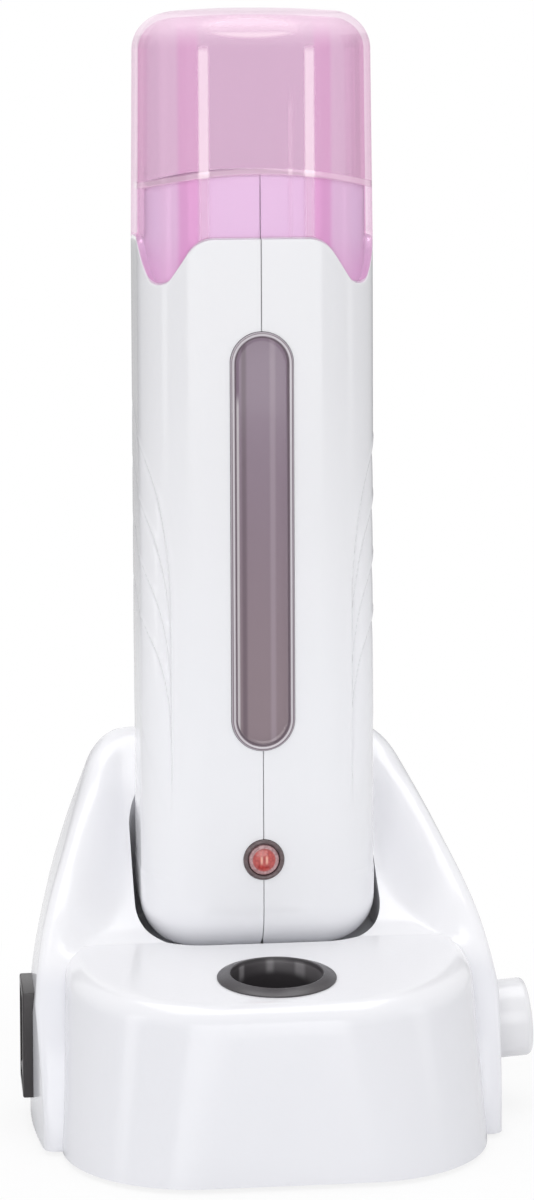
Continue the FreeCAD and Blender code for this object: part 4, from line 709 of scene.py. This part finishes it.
def half_shell():
    """Right half of the body: outside from the foot to the neck's rim, and back down inside."""
    around, up, edge = 216, 280, NEAR_SEAM[-1]
    runs = [*NEAR_SEAM] + [edge + (HALF_RUN - 2 * edge) * step / around for step in range(1, around)]
    runs += [HALF_RUN - run for run in reversed(NEAR_SEAM)]
    bend = SEAT + FOOT_ROUND
    inner_round = FOOT_ROUND - SHELL_WALL
    neck_inner = NECK_INSET + NECK_WALL
    # Each row of corners: what it lies on, its inset and its height, or the share of a stretch.
    rows = [("mouth", step / 5, SEAT) for step in range(5)]
    for step in range(15):
        angle = step / 14 * math.pi / 2
        rows.append(("skin", FOOT_ROUND * (1 - math.sin(angle)), bend - FOOT_ROUND * math.cos(angle)))
    rows += [("body", 0.0, share) for share in steps(up)]
    rows += [("edge", 0.1, -0.10), ("edge", 0.35, 0.0), ("edge", NECK_INSET - 0.1, 0.0)]
    rows += [("neck", NECK_INSET, share) for share in steps(12)]
    outer_end = len(rows)
    rows += [("rim", NECK_INSET + 0.12, -0.10), ("rim", NECK_INSET + 0.35, 0.0),
             ("rim", neck_inner - 0.3, 0.0), ("rim", neck_inner, -0.25)]
    rows += [("skin", neck_inner, NECK_FOOT), ("skin", SHELL_WALL, WALL_TOP)]
    rows += [("skin", SHELL_WALL, mixed(WALL_TOP, bend, share)) for share in steps(12)]
    for share in steps(7):
        angle = (1 - share) * math.pi / 2
        inset, height = FOOT_ROUND - inner_round * math.sin(angle), bend - inner_round * math.cos(angle)
        rows.append(("skin", inset, height))
    rows += [("mouth", 1 - share, SEAT + SHELL_WALL) for share in steps(4)]
    rows.append(("mouth", 0.0, SEAT))

    def place(column, row):
        kind, inset, level = rows[row]
        run = runs[column]
        from_seam = min(run, HALF_RUN - run)
        outside = row < outer_end
        sink = SEAM_DEPTH if from_seam < 0.2 and outside and kind != "edge" else 0.0
        x, y = body_section(run, inset + sink)
        edge_height = shoulder(*body_section(run, 0.0))
        z = level
        if kind == "mouth":
            inner = round_section(run, SOCKET_HALF_X, SOCKET_HALF_Y, 0.5)
            outer = body_section(run, FOOT_ROUND)
            x, y = mixed(inner[0], outer[0], inset), mixed(inner[1], outer[1], inset)
        elif kind == "body":
            z = mixed(bend, edge_height - 0.35, level)
            x, y = body_section(run, sink + grip_depth(run, z))
        elif kind == "edge":
            z = edge_height + level
        elif kind == "neck":
            z = mixed(edge_height + 0.05, neck_rim(x) - 0.35, level)
        elif kind == "rim":
            z = neck_rim(x) + level
        if from_seam < 0.1:
            x = SEAM_HALF
            if outside and kind == "skin" and z < SEAM_FOOT_TOP:
                x += SEAM_FOOT * min(1.0, (SEAM_FOOT_TOP - z) / 1.5)
        return x, y, z

    return closed_up(sheet(len(runs) - 1, len(rows) - 1, place))


def window_plug(radius, front, back):
    """Upright stadium-shaped plug."""
    form = bmesh.new()
    bmesh.ops.create_circle(form, cap_ends=True, radius=radius * MM, segments=64)
    for corner in form.verts:
        lift = WINDOW_MIDDLE + (WINDOW_STRAIGHT if corner.co.y > 0 else -WINDOW_STRAIGHT)
        corner.co = (corner.co.x, front * MM, corner.co.y + lift * MM)
    return drawn_out(form, (0, back - front, 0))


def make_body():
    """Two half shells with a fine parting line, grip scales, window and lamp hole."""
    right = half_shell()
    left = right.copy()
    bmesh.ops.scale(left, vec=(-1, 1, 1), verts=left.verts)
    bmesh.ops.reverse_faces(left, faces=left.faces)
    for side, form in (("right", right), ("left", left)):
        half = solid_of(side + "_body_half", form)
        combine("DIFFERENCE", half,
                window_plug(WINDOW_RADIUS + 0.1, front=-24.5, back=-19.5),
                rod((0, -25, LAMP_HEIGHT), (0, 1, 0), radius=4.8, first=0, last=6))
        settle(mended(half), "white_shell", "heater", side + "_shell")


def make_window():
    """Smoky pane with a rounded rim outside and a flange behind the wall."""
    flange, wall, face, rim = -20.25, -21.15, -22.4, -23.2
    # Points of the section: inset from the window's edge, and depth along Y.
    profile = [(WINDOW_RADIUS, flange), (0.0, flange), (-1.75, flange), (-1.75, wall), (0.0, wall)]
    profile += [(0.0, rim)]
    profile += [(0.28 - 0.28 * math.cos(math.radians(angle)), rim - 0.28 * math.sin(math.radians(angle)))
                for angle in (22, 45, 68, 90)]
    profile += [(0.95, -23.48), (1.1, -23.42), (1.22, -23.25), (1.3, -22.6), (1.45, face - 0.02)]
    profile += [(2.2, face), (WINDOW_RADIUS, face)]
    straight, bend = 26, 28
    around = 2 * (straight + bend)

    def place(column, row):
        inset, y = profile[row]
        column %= around
        out = WINDOW_RADIUS - inset
        low_half = column >= bend + straight
        side = -1 if low_half else 1
        step = column - (bend + straight if low_half else 0)
        if step < bend:
            angle = (low_half + step / bend) * math.pi
            x, z = out * math.cos(angle), side * WINDOW_STRAIGHT + out * math.sin(angle)
        else:
            x, z = -side * out, side * WINDOW_STRAIGHT * (1 - 2 * (step - bend) / straight)
        return x, y, z + WINDOW_MIDDLE

    form = closed_up(sheet(around, len(profile) - 1, place))
    settle(solid_of("window_pane", form), "smoky_lens", "heater", "window_lens", 50.0)


def make_pilot_lamp():
    """Dark ring and domed red lens, turned about the lamp's axis."""
    face = ((0.0, -BODY_HALF_Y, LAMP_HEIGHT), (0.0, -1.0, 0.0))
    ring = turned([(3.7, -2.8), (5.7, -2.8), (5.7, -1.85), (4.7, -1.85), (4.7, 0.2)]
                  + arc(4.2, 0.2, 0.5, 0, 180, 14) + [(3.7, -0.5), (3.7, -2.8)])
    settle(solid_of("lamp_ring", set_on(ring, *face)),
           "lamp_ring", "heater", "pilot_lamp_bezel", 40.0)
    lens = turned([(0.0, -5.1), (3.55, -5.1), (3.55, 0.1), (3.42, 0.32), (3.1, 0.42), (2.8, 0.34),
                   (2.6, 0.45), (2.2, 0.66), (1.6, 0.81), (0.9, 0.88), (0.0, 0.9)])
    settle(solid_of("lamp_lens", set_on(lens, *face)),
           "clear_red", "heater", "pilot_lamp_lens", 50.0)


CAP_WALL, CAP_DRAFT, CAP_DOME = 1.6, 0.55, 1.4
CAP_TOP, CAP_ROUND, CAP_TALL = 258.2, 9.5, 53.0
CAP_GAP, CAP_LIP = 0.25, 0.3


def make_cap():
    """Clear cup: slightly tapered walls, domed top, wavy lower edge with a soft lip."""
    half_steps = 150
    # Each row of corners: what it lies on, the share of that stretch and the inset of the wall's side.
    rows = [("top", step / 10, 0.0) for step in range(11)]
    rows += [("bend", share, 0.0) for share in steps(14)] + [("wall", share, 0.0) for share in steps(24)]
    rows += [("lip", 0.35, 0.0), ("lip", 0.75, 0.0)]
    rows += [("wall", share, CAP_WALL) for share in reversed(steps(24))]
    rows += [("bend", share, CAP_WALL) for share in reversed(steps(14))]
    rows += [("top", step / 10, CAP_WALL) for step in range(10, -1, -1)]

    def place(column, row):
        kind, share, inset = rows[row]
        step, side = folded(column % (2 * half_steps), half_steps)
        run = step / half_steps * HALF_RUN
        edge = shoulder(*body_section(run, 0.0)) + CAP_GAP
        if kind == "wall":
            x, y = body_section(run, inset)
            z = mixed(CAP_TOP - CAP_ROUND, edge + CAP_LIP, share)
        elif kind == "lip":
            x, y = body_section(run, CAP_WALL * share)
            z = edge + CAP_LIP * (2 * share - 1) ** 2
        elif kind == "top":
            x, y = [part * share for part in body_section(run, CAP_ROUND)]
            z = CAP_TOP - inset - CAP_DOME * (share * 0.75) ** 2
        else:
            angle = share * math.pi / 2
            x, y = body_section(run, CAP_ROUND - (CAP_ROUND - inset) * math.sin(angle))
            z = (CAP_TOP - CAP_ROUND + (CAP_ROUND - inset) * math.cos(angle)
                 - CAP_DOME * (0.75 + 0.25 * share) ** 2 * (1 - share))
        draft = CAP_DRAFT * max(0.0, (z - SHOULDER) / CAP_TALL)
        return side * x * (1 - draft / BODY_HALF_X), y * (1 - draft / BODY_HALF_Y), z

    form = closed_up(sheet(2 * half_steps, len(rows) - 1, place))
    settle(solid_of("clear_cap", form), "clear_pink", "cap", "cap", 60.0)


# ---------------------------------------------------------------- base

DECK, DECK_BACK, DECK_SLOPE = 41.2, -28.0, math.radians(3.25)
BASE_WALL, POCKET_GAP = 2.2, 1.4
FLANK_HALF, FLANK_FRONT, BASE_REAR = 54.3, 45.0, 42.0
# Plan of the flanks: where they are widest, how they close behind it and draw in before it.
WIDEST, PLAN_POWER, PLAN_DRAW = -17.0, 0.303, 2.28
# The flanks' bend over into the leaning arms, and how full and soft the arms' shoulders are.
FLANK_BEND, BEND_START, ARM_LEAN = 86.0, 21.0, math.radians(23.5)
ARM_FULLNESS, ARM_SOFTNESS = 0.5, 3.0
# The arms end at the back in a round crest. Their side views are points (y, z), joined smoothly.
ARM_TOP, CREST, CREST_Y, CREST_ROUNDING = 81.0, 7.4, 34.6, 2.6
ARM_INNER = ((-40.0, 40.52), (DECK_BACK, DECK), (-23.0, 41.48), (-17.0, 43.1), (-11.0, 46.3),
             (-5.0, 50.5), (2.0, 56.1), (10.2, 63.2), (22.1, 73.2), (29.0, 78.4),
             (CREST_Y, ARM_TOP), (41.0, 81.2))
ARM_OUTER = ((-45.6, -6.0), (-45.0, 1.5), (-43.8, 8.5), (-41.5, 16.5), (-38.0, 24.5),
             (-34.0, 31.0), (-30.0, 36.2), (-26.0, 40.6), (-22.0, 44.8), (-18.0, 49.0),
             (-13.0, 53.4), (-8.0, 57.6), (-2.0, 62.0), (5.0, 66.6), (13.0, 71.2), (22.1, 75.6),
             (29.0, 79.2), (CREST_Y, ARM_TOP), (41.0, 81.2))
# Beside the pocket the arms' tops tilt outwards over a strip; the deck before them lies a little low.
POCKET_SIDE, STRIP, RISE_START, DECK_SUNK = 29.1, 6.0, -23.0, 0.3
# The block at the table, with corners that widen upwards, and the drafts of its sides and front.
BLOCK_HALF, BLOCK_FRONT, BLOCK_CORNER, CORNER_GROWTH = 48.4, 74.0, 30.0, 0.15
BLOCK_SIDE, BLOCK_FALL = math.tan(math.radians(2.8)), math.tan(math.radians(7.6))
BLOCK_BACK, BLOCK_MIDDLE, BLOCK_TOP = -20.0, -50.0, 36.0


def deck_height(y):
    """Height of the sloping deck."""
    return DECK + (y - DECK_BACK) * math.tan(DECK_SLOPE)


def arm_height(y, line):
    """Smooth line through the points of an arm's side view."""
    for place in range(1, len(line) - 2):
        (y0, z0), (y1, z1), (y2, z2), (y3, z3) = line[place - 1:place + 3]
        if y <= y2:
            break
    share = (y - y1) / (y2 - y1)
    first = (z2 - z0) / (y2 - y0) * (y2 - y1)
    last = (z3 - z1) / (y3 - y1) * (y2 - y1)
    square, cube = share ** 2, share ** 3
    return ((2 * cube - 3 * square + 1) * z1 + (cube - 2 * square + share) * first
            + (3 * square - 2 * cube) * z2 + (cube - square) * last)


def rear_height(y, inset, line):
    """Top of the rear part along the arms' inner or outer line, with the crest behind them."""
    if y > CREST_Y:
        return ARM_TOP - CREST + math.sqrt(max((CREST - inset) ** 2 - (y - CREST_Y) ** 2, 0.0))
    if y < RISE_START and line is ARM_INNER:
        return deck_height(y) - inset - DECK_SUNK
    step = 0.1
    slope = 0.0
    if y < CREST_Y - 2 * step:
        slope = (arm_height(y + step, line) - arm_height(y - step, line)) / (2 * step)
    sunk = DECK_SUNK * eased(-y, -RISE_START - 5.0, -RISE_START) if line is ARM_INNER else 0.0
    return arm_height(y, line) - inset * math.hypot(1.0, slope) - sunk


def rear_half(y, z, inset, corner):
    """Half width of the rear part: bulging plan and arms that lean in, eased where they cross."""
    half = FLANK_HALF - inset
    if y > WIDEST:
        along = min((y - WIDEST) / (BASE_REAR - inset - WIDEST), 1.0)
        plan = half * (1 - along ** 2) ** PLAN_POWER
    else:
        plan = half - PLAN_DRAW * ((WIDEST - y) / (WIDEST + FLANK_FRONT)) ** 2
    ahead = y + FLANK_FRONT - inset
    if corner > 0 and ahead < corner:
        plan += math.sqrt(max(corner ** 2 - (corner - ahead) ** 2, 0.0)) - corner
    bend = FLANK_BEND - inset
    rise = z - BEND_START
    end = bend * math.sin(ARM_LEAN)
    if rise <= 0:
        lean = half
    elif rise <= end:
        lean = FLANK_HALF - FLANK_BEND + math.sqrt(bend ** 2 - rise ** 2)
    else:
        lean = (FLANK_HALF - FLANK_BEND + bend * math.cos(ARM_LEAN)
                - (rise - end) * math.tan(ARM_LEAN))
    lean += ARM_FULLNESS * eased(z, 30.0, 48.0) * eased(76.0 - z, 0.0, 14.0)
    soft = ARM_SOFTNESS * eased(z, 26.0, 50.0) * eased(y, -30.0, 5.0) + 0.02
    return max((lean + plan - math.hypot(lean - plan, soft)) / 2, 0.0)


def rear_part(inset, low, edge, corner):
    """Flanks, deck, arms and back of the base as one closed form.

    inset is the distance from the outside, low the bottom's height, edge the rounding of the upper
    edges, which grows towards the crest, and corner the rounding of the front corners in plan.
    """
    front, back, fine_from = -FLANK_FRONT + inset, BASE_REAR - inset, -33.0
    places = [front - 1.0]
    places += [front + max(corner, 0.5) * (1 - math.cos(step / 7 * math.pi / 2)) for step in range(8)]
    places += [mixed(places[-1], fine_from, share) for share in steps(12)]
    places += [mixed(fine_from, CREST_Y, share) for share in steps(56)]
    places += [back - (back - CREST_Y) * (1 - share) ** 4 for share in steps(24)]
    side, bend, top = 34, 12, 30
    half_count = side + bend + top

    def place(column, row):
        step, hand = folded(column, half_count)
        y = front if row == 0 else places[row]
        high = max(rear_height(y, inset, ARM_OUTER), low + 1)
        inner = max(min(rear_height(y, inset, ARM_INNER), high), low + 1)
        wide = rear_half(y, high, inset, corner)
        round_edge = edge + CREST_ROUNDING * eased(y, 22.0, 34.0)
        round_edge = max(min(round_edge, wide * 0.9, (high - low) * 0.8), 0.01)
        limit = max(wide - round_edge, 0.0)
        if step <= side:
            z = mixed(low, high - round_edge, step / side)
            x = rear_half(y, z, inset, corner)
        elif step <= side + bend:
            share = (step - side) / bend
            start = rear_half(y, high - round_edge, inset, corner)
            x = (1 - share) ** 2 * start + 2 * share * (1 - share) * wide + share ** 2 * limit
            z = (1 - share) ** 2 * (high - round_edge) + (2 * share * (1 - share) + share ** 2) * high
        else:
            x = limit * (1 - (step - side - bend) / top)
            tilt_start = mixed(limit - STRIP, min(POCKET_SIDE, limit - STRIP), eased(y, -26.0, 2.0))
            z = mixed(inner, high, eased(x, tilt_start, limit))
        return hand * x, y, low if row == 0 else z

    return closed_up(sheet(2 * half_count, len(places) - 1, place))


def block_part(inset, low, edge):
    """Front block: drafted D-shaped wall under the sloping deck."""
    half_run = [("back", 0.0)]
    half_run += [(kind, share) for kind, count in (("side", 14), ("corner", 26), ("front", 14))
                 for share in steps(count)]
    count = len(half_run) - 1
    levels = [("wall", step / 18) for step in range(19)]
    levels += [("edge", share) for share in steps(8)] + [("deck", share) for share in steps(16)]

    def outline(step, height, extra):
        """Point of the wall's outline at a height, moved inwards by extra."""
        half = BLOCK_HALF - inset - extra - height * BLOCK_SIDE
        front = BLOCK_FRONT - inset - extra - height * BLOCK_FALL
        corner = max(BLOCK_CORNER + CORNER_GROWTH * height - inset - extra, 0.5)
        kind, share = half_run[step]
        if kind == "back":
            return half, BLOCK_BACK
        if kind == "side":
            return half, mixed(BLOCK_BACK, -front + corner, share)
        if kind == "corner":
            angle = share * math.pi / 2
            return half - corner + corner * math.cos(angle), -front + corner - corner * math.sin(angle)
        return (half - corner) * (1 - share), -front

    def place(column, row):
        step, hand = folded(column % (2 * count + 1), count)
        kind, share = levels[row]
        high = deck_height(outline(step, BLOCK_TOP, 0.0)[1]) - inset
        if kind == "wall":
            z = mixed(low, high - edge, share)
            x, y = outline(step, z, 0.0)
        elif kind == "edge":
            angle = share * math.pi / 2
            x, y = outline(step, high - edge + edge * math.sin(angle), edge * (1 - math.cos(angle)))
            z = deck_height(y) - inset - edge + edge * math.sin(angle)
        else:
            x, y = outline(step, high, edge)
            x, y = x * (1 - share), mixed(y, BLOCK_MIDDLE, share)
            z = deck_height(y) - inset
        return hand * x, y, z

    return closed_up(sheet(2 * count + 1, len(levels) - 1, place))


def pocket_plug(grow, low, high):
    """Upright space of the heater in the dock."""
    form = bmesh.new()
    count = 160
    bmesh.ops.create_circle(form, cap_ends=True, radius=1.0, segments=count)
    for number, corner in enumerate(form.verts):
        share = 2 * (number + 0.5) / count
        x, y = body_section(min(share, 2 - share) * HALF_RUN, -grow)
        corner.co = ((x if share < 1 else -x) * MM, y * MM, low * MM)
    return drawn_out(form, (0, 0, high - low))


KNOB_SEAT, KNOB_TILT = (54.1, -18.0, 19.6), math.radians(4.0)
KNOB_AXIS = (math.cos(KNOB_TILT), 0.0, math.sin(KNOB_TILT))
WELL_MOUTH = (0.0, WELL_Y, deck_height(WELL_Y))
WELL_AXIS = (0.0, -math.sin(DECK_SLOPE), math.cos(DECK_SLOPE))
OPENINGS = (
    # open underside
    (bar, (-80.0, -90.0, -5.0), (80.0, 60.0, 1.0)),
    # seat of the switch's frame in the flank, and the space of its body
    (bar, (-70.0, -26.75, 7.6), (-53.2, -9.25, 32.4)),
    (bar, (-70.0, -26.1, 8.2), (-39.9, -9.9, 31.8)),
    # bush of the regulator, and the knob's recess
    (rod, KNOB_SEAT, KNOB_AXIS, 3.6, -9.0, 3.0),
    (rod, KNOB_SEAT, KNOB_AXIS, 6.8, -0.3, 9.0),
    # tool well
    (rod, WELL_MOUTH, WELL_AXIS, 11.55, -5.0, 8.0, 96),
    # mains inlet
    (bar, (-12.1, 21.0, 3.9), (12.1, 60.0, 18.1)),
    # contact tower in the pocket's floor
    (bar, (-SOCKET_HALF_X, -SOCKET_HALF_Y, 33.0), (SOCKET_HALF_X, SOCKET_HALF_Y, 39.2)),
)


def make_housing():
    """Upper shell of the base: flanks, arms, deck and block, hollow, with the dock pocket."""
    housing = solid_of("base_upper_shell", rear_part(inset=0.0, low=0.6, edge=3.2, corner=2.4))
    combine("UNION", housing, block_part(inset=0.0, low=0.2, edge=4.4))
    combine("DIFFERENCE", housing, pocket_plug(grow=POCKET_GAP, low=SEAT, high=95.0))
    hollow = solid_of("hollow", rear_part(inset=BASE_WALL, low=-1.0, edge=2.0, corner=1.0))
    combine("UNION", hollow, block_part(inset=BASE_WALL, low=-1.4, edge=2.6))
    combine("DIFFERENCE", hollow, pocket_plug(grow=POCKET_GAP + BASE_WALL, low=SEAT - BASE_WALL, high=97.0))
    combine("DIFFERENCE", housing, hollow, *[make(*sizes) for make, *sizes in OPENINGS])
    settle(mended(housing), "white_base", "base", "base_housing", 30.0)


def make_well():
    """Tool cup with its conical rim on the deck."""
    rim = [(11.45, 0.0)] + arc(13.3, 0.2, 0.2, -90, 60, 6) + arc(10.75, 1.0, 0.3, 70, 180, 8)
    points = ([(0.0, -32.2)] + arc(WELL_RADIUS, -31.0, 1.2, -90, 0, 6) + rim
              + [(10.38, 0.4), (WELL_RADIUS, 0.0), (WELL_RADIUS, -3.0), (WELL_RADIUS, -29.5)]
              + arc(WELL_RADIUS - 1.5, -29.5, 1.5, 0, -90, 6) + [(0.0, -31.0)])
    cup = solid_of("tool_cup", set_on(turned(points, 128), WELL_MOUTH, WELL_AXIS))
    settle(cup, "well_black", "base", "tool_well_liner", 38.0)


def make_knob():
    """Hollow knob with a rounded end."""
    points = ([(6.8, 0.6)] + arc(8.8, 0.8, 0.2, -90, 0, 4) + arc(7.7, 7.5, 1.3, 0, 90, 10)
              + [(5.0, 8.8), (0.0, 8.8), (0.0, 7.5), (3.05, 7.5), (3.05, 3.4), (6.8, 3.4), (6.8, 0.6)])
    knob = solid_of("turn_knob", set_on(turned(points, 128), KNOB_SEAT, KNOB_AXIS))
    settle(knob, "white_knob", "knob", "temperature_knob", 38.0)


def make_switch_frame():
    """Guard frame of the switch with soft edges and its body behind the flank."""
    face = -56.4
    plate = bar((face, -26.65, 7.7), (-53.2, -9.35, 32.3))
    outer = [edge for edge in plate.edges if min(corner.co.x for corner in edge.verts) < (face + 0.1) * MM]
    bmesh.ops.bevel(plate, geom=outer, offset=0.45 * MM, offset_type="OFFSET", affect="EDGES", segments=3,
                    profile=0.5, material=-1)
    guard = solid_of("switch_guard", plate)
    combine("UNION", guard, bar((-53.6, -26.0, 8.3), (-40.0, -10.0, 31.7)))
    combine("DIFFERENCE", guard,
            bar((-60.0, -24.8, 9.3), (-43.4, -11.2, 30.7)),
            rod((-49.2, -27.0, 20.0), (0, 1, 0), radius=1.28, first=1.1, last=16.9))
    settle(guard, "black_satin", "base", "switch_housing", 30.0)


make_body()
make_window()
make_pilot_lamp()
make_cap()
make_housing()
make_well()
make_knob()
make_switch_frame()


# ---------------------------------------------------------------- studio

SURROUND = 0.53
CAMERA_REACH, CAMERA_HEIGHT = 0.770, 0.244
CAMERA_SIDE, CAMERA_YAW, CAMERA_PITCH, CAMERA_ROLL = -6.10, -0.2835, 4.058, 0.2413
CAMERA_SHIFT = 0.25
IMAGE_HEIGHT, LENS_PIXELS, SENSOR = 1200.0, 3267.5, 36.0


def studio_floor():
    """Pale floor that takes the object's shadow and fades into the white ground."""
    form = bmesh.new()
    bmesh.ops.create_grid(form, x_segments=1, y_segments=1, size=4.0)
    floor = solid_of("floor", form)
    finish = Finish("pale_floor")
    fade = finish.band(finish.length(finish.place()), 0.06, 0.15)
    seen = finish.add("LightPath", output="Is Camera Ray")
    share = seen * finish.band(fade, 0.0, 1.0, 0.84, 1.0)
    matt_white = finish.add("BsdfDiffuse", {"Color": grey(0.90)})
    ground = finish.add("Emission", {"Color": grey(1.0), "Strength": 1.0})
    floor.data.materials.append(finish.finished(finish.layered(share, matt_white, ground)))


def studio_world():
    """White ground for the eye, for gloss and for glass, and a dimmer surround that lights."""
    world = Finish("studio", bpy.data.worlds)
    eye, gloss, glass = [world.add("LightPath", output=f"Is {kind} Ray")
                         for kind in ("Camera", "Glossy", "Transmission")]
    seen = world.add("Math", {0: eye + gloss, 1: glass}, operation="ADD", use_clamp=True)
    dim = world.add("Background", {"Color": (0.99, 0.99, 1.0, 1.0), "Strength": SURROUND})
    white = world.add("Background", {"Color": grey(1.0), "Strength": 1.0})
    bpy.context.scene.world = world.finished(world.layered(seen, dim, white), "World")


def softbox(name, place, target, width, height, watts):
    """Area lamp turned to a target."""
    lamp = bpy.data.lights.new(name, "AREA")
    lamp.shape = "RECTANGLE"
    lamp.size = width
    lamp.size_y = height
    lamp.energy = watts
    holder = bpy.data.objects.new(name, lamp)
    holder.location = place
    holder.rotation_euler = (Vector(target) - Vector(place)).to_track_quat("-Z", "Y").to_euler()
    bpy.context.scene.collection.objects.link(holder)


def side_card(name, across):
    """Upright grey card, unseen by the camera, which keeps the pale edges darker than the ground."""
    form = sheet(1, 1, lambda column, row: (across / MM, 400.0 + 1000.0 * column, 20.0 + 800.0 * row))
    card = solid_of(name, form)
    finish = Finish(name)
    shade = finish.blend(finish.noise(3.0), grey(0.40, 0.01), grey(0.36, 0.01))
    card.data.materials.append(finish.finished(finish.surface(shade, 0.9)))
    card.visible_camera = False


def studio_camera():
    """Long lens a little above the cap, turned slightly to the heater's left side."""
    camera = bpy.data.cameras.new("camera")
    camera.sensor_fit = "VERTICAL"
    camera.sensor_height = SENSOR
    camera.lens = LENS_PIXELS / IMAGE_HEIGHT * SENSOR
    camera.shift_y = -CAMERA_SHIFT
    camera.clip_start = 0.05
    side, yaw, pitch, roll = [math.radians(angle)
                              for angle in (CAMERA_SIDE, CAMERA_YAW, CAMERA_PITCH, CAMERA_ROLL)]
    heading = side + yaw
    ahead = Vector((-math.sin(heading) * math.cos(pitch), math.cos(heading) * math.cos(pitch),
                    -math.sin(pitch)))
    right = Vector((math.cos(heading), math.sin(heading), 0.0))
    up = right.cross(ahead)
    across = right * math.cos(roll) - up * math.sin(roll)
    above = up * math.cos(roll) + right * math.sin(roll)
    turn = Matrix((across, above, -ahead)).transposed().to_4x4()
    place = Vector((CAMERA_REACH * math.sin(side), -CAMERA_REACH * math.cos(side), CAMERA_HEIGHT))
    holder = bpy.data.objects.new("camera", camera)
    holder.matrix_world = Matrix.Translation(place) @ turn
    bpy.context.scene.collection.objects.link(holder)
    bpy.context.scene.camera = holder


studio_floor()
studio_world()
softbox("front", (-0.16, -1.50, 0.28), (0, 0, 0.12), width=1.1, height=1.3, watts=9.3)
softbox("left", (-1.40, -0.50, 0.40), (0, 0, 0.12), width=0.3, height=1.2, watts=1.8)
softbox("right", (1.40, -0.50, 0.40), (0, 0, 0.12), width=0.3, height=1.2, watts=1.2)
softbox("top", (0.0, 0.12, 1.3), (0, 0, 0.1), width=1.1, height=0.9, watts=8.5)
side_card("left_card", -0.34)
side_card("right_card", 0.34)
studio_camera()

settings = bpy.context.scene.view_settings
settings.view_transform = "Standard"
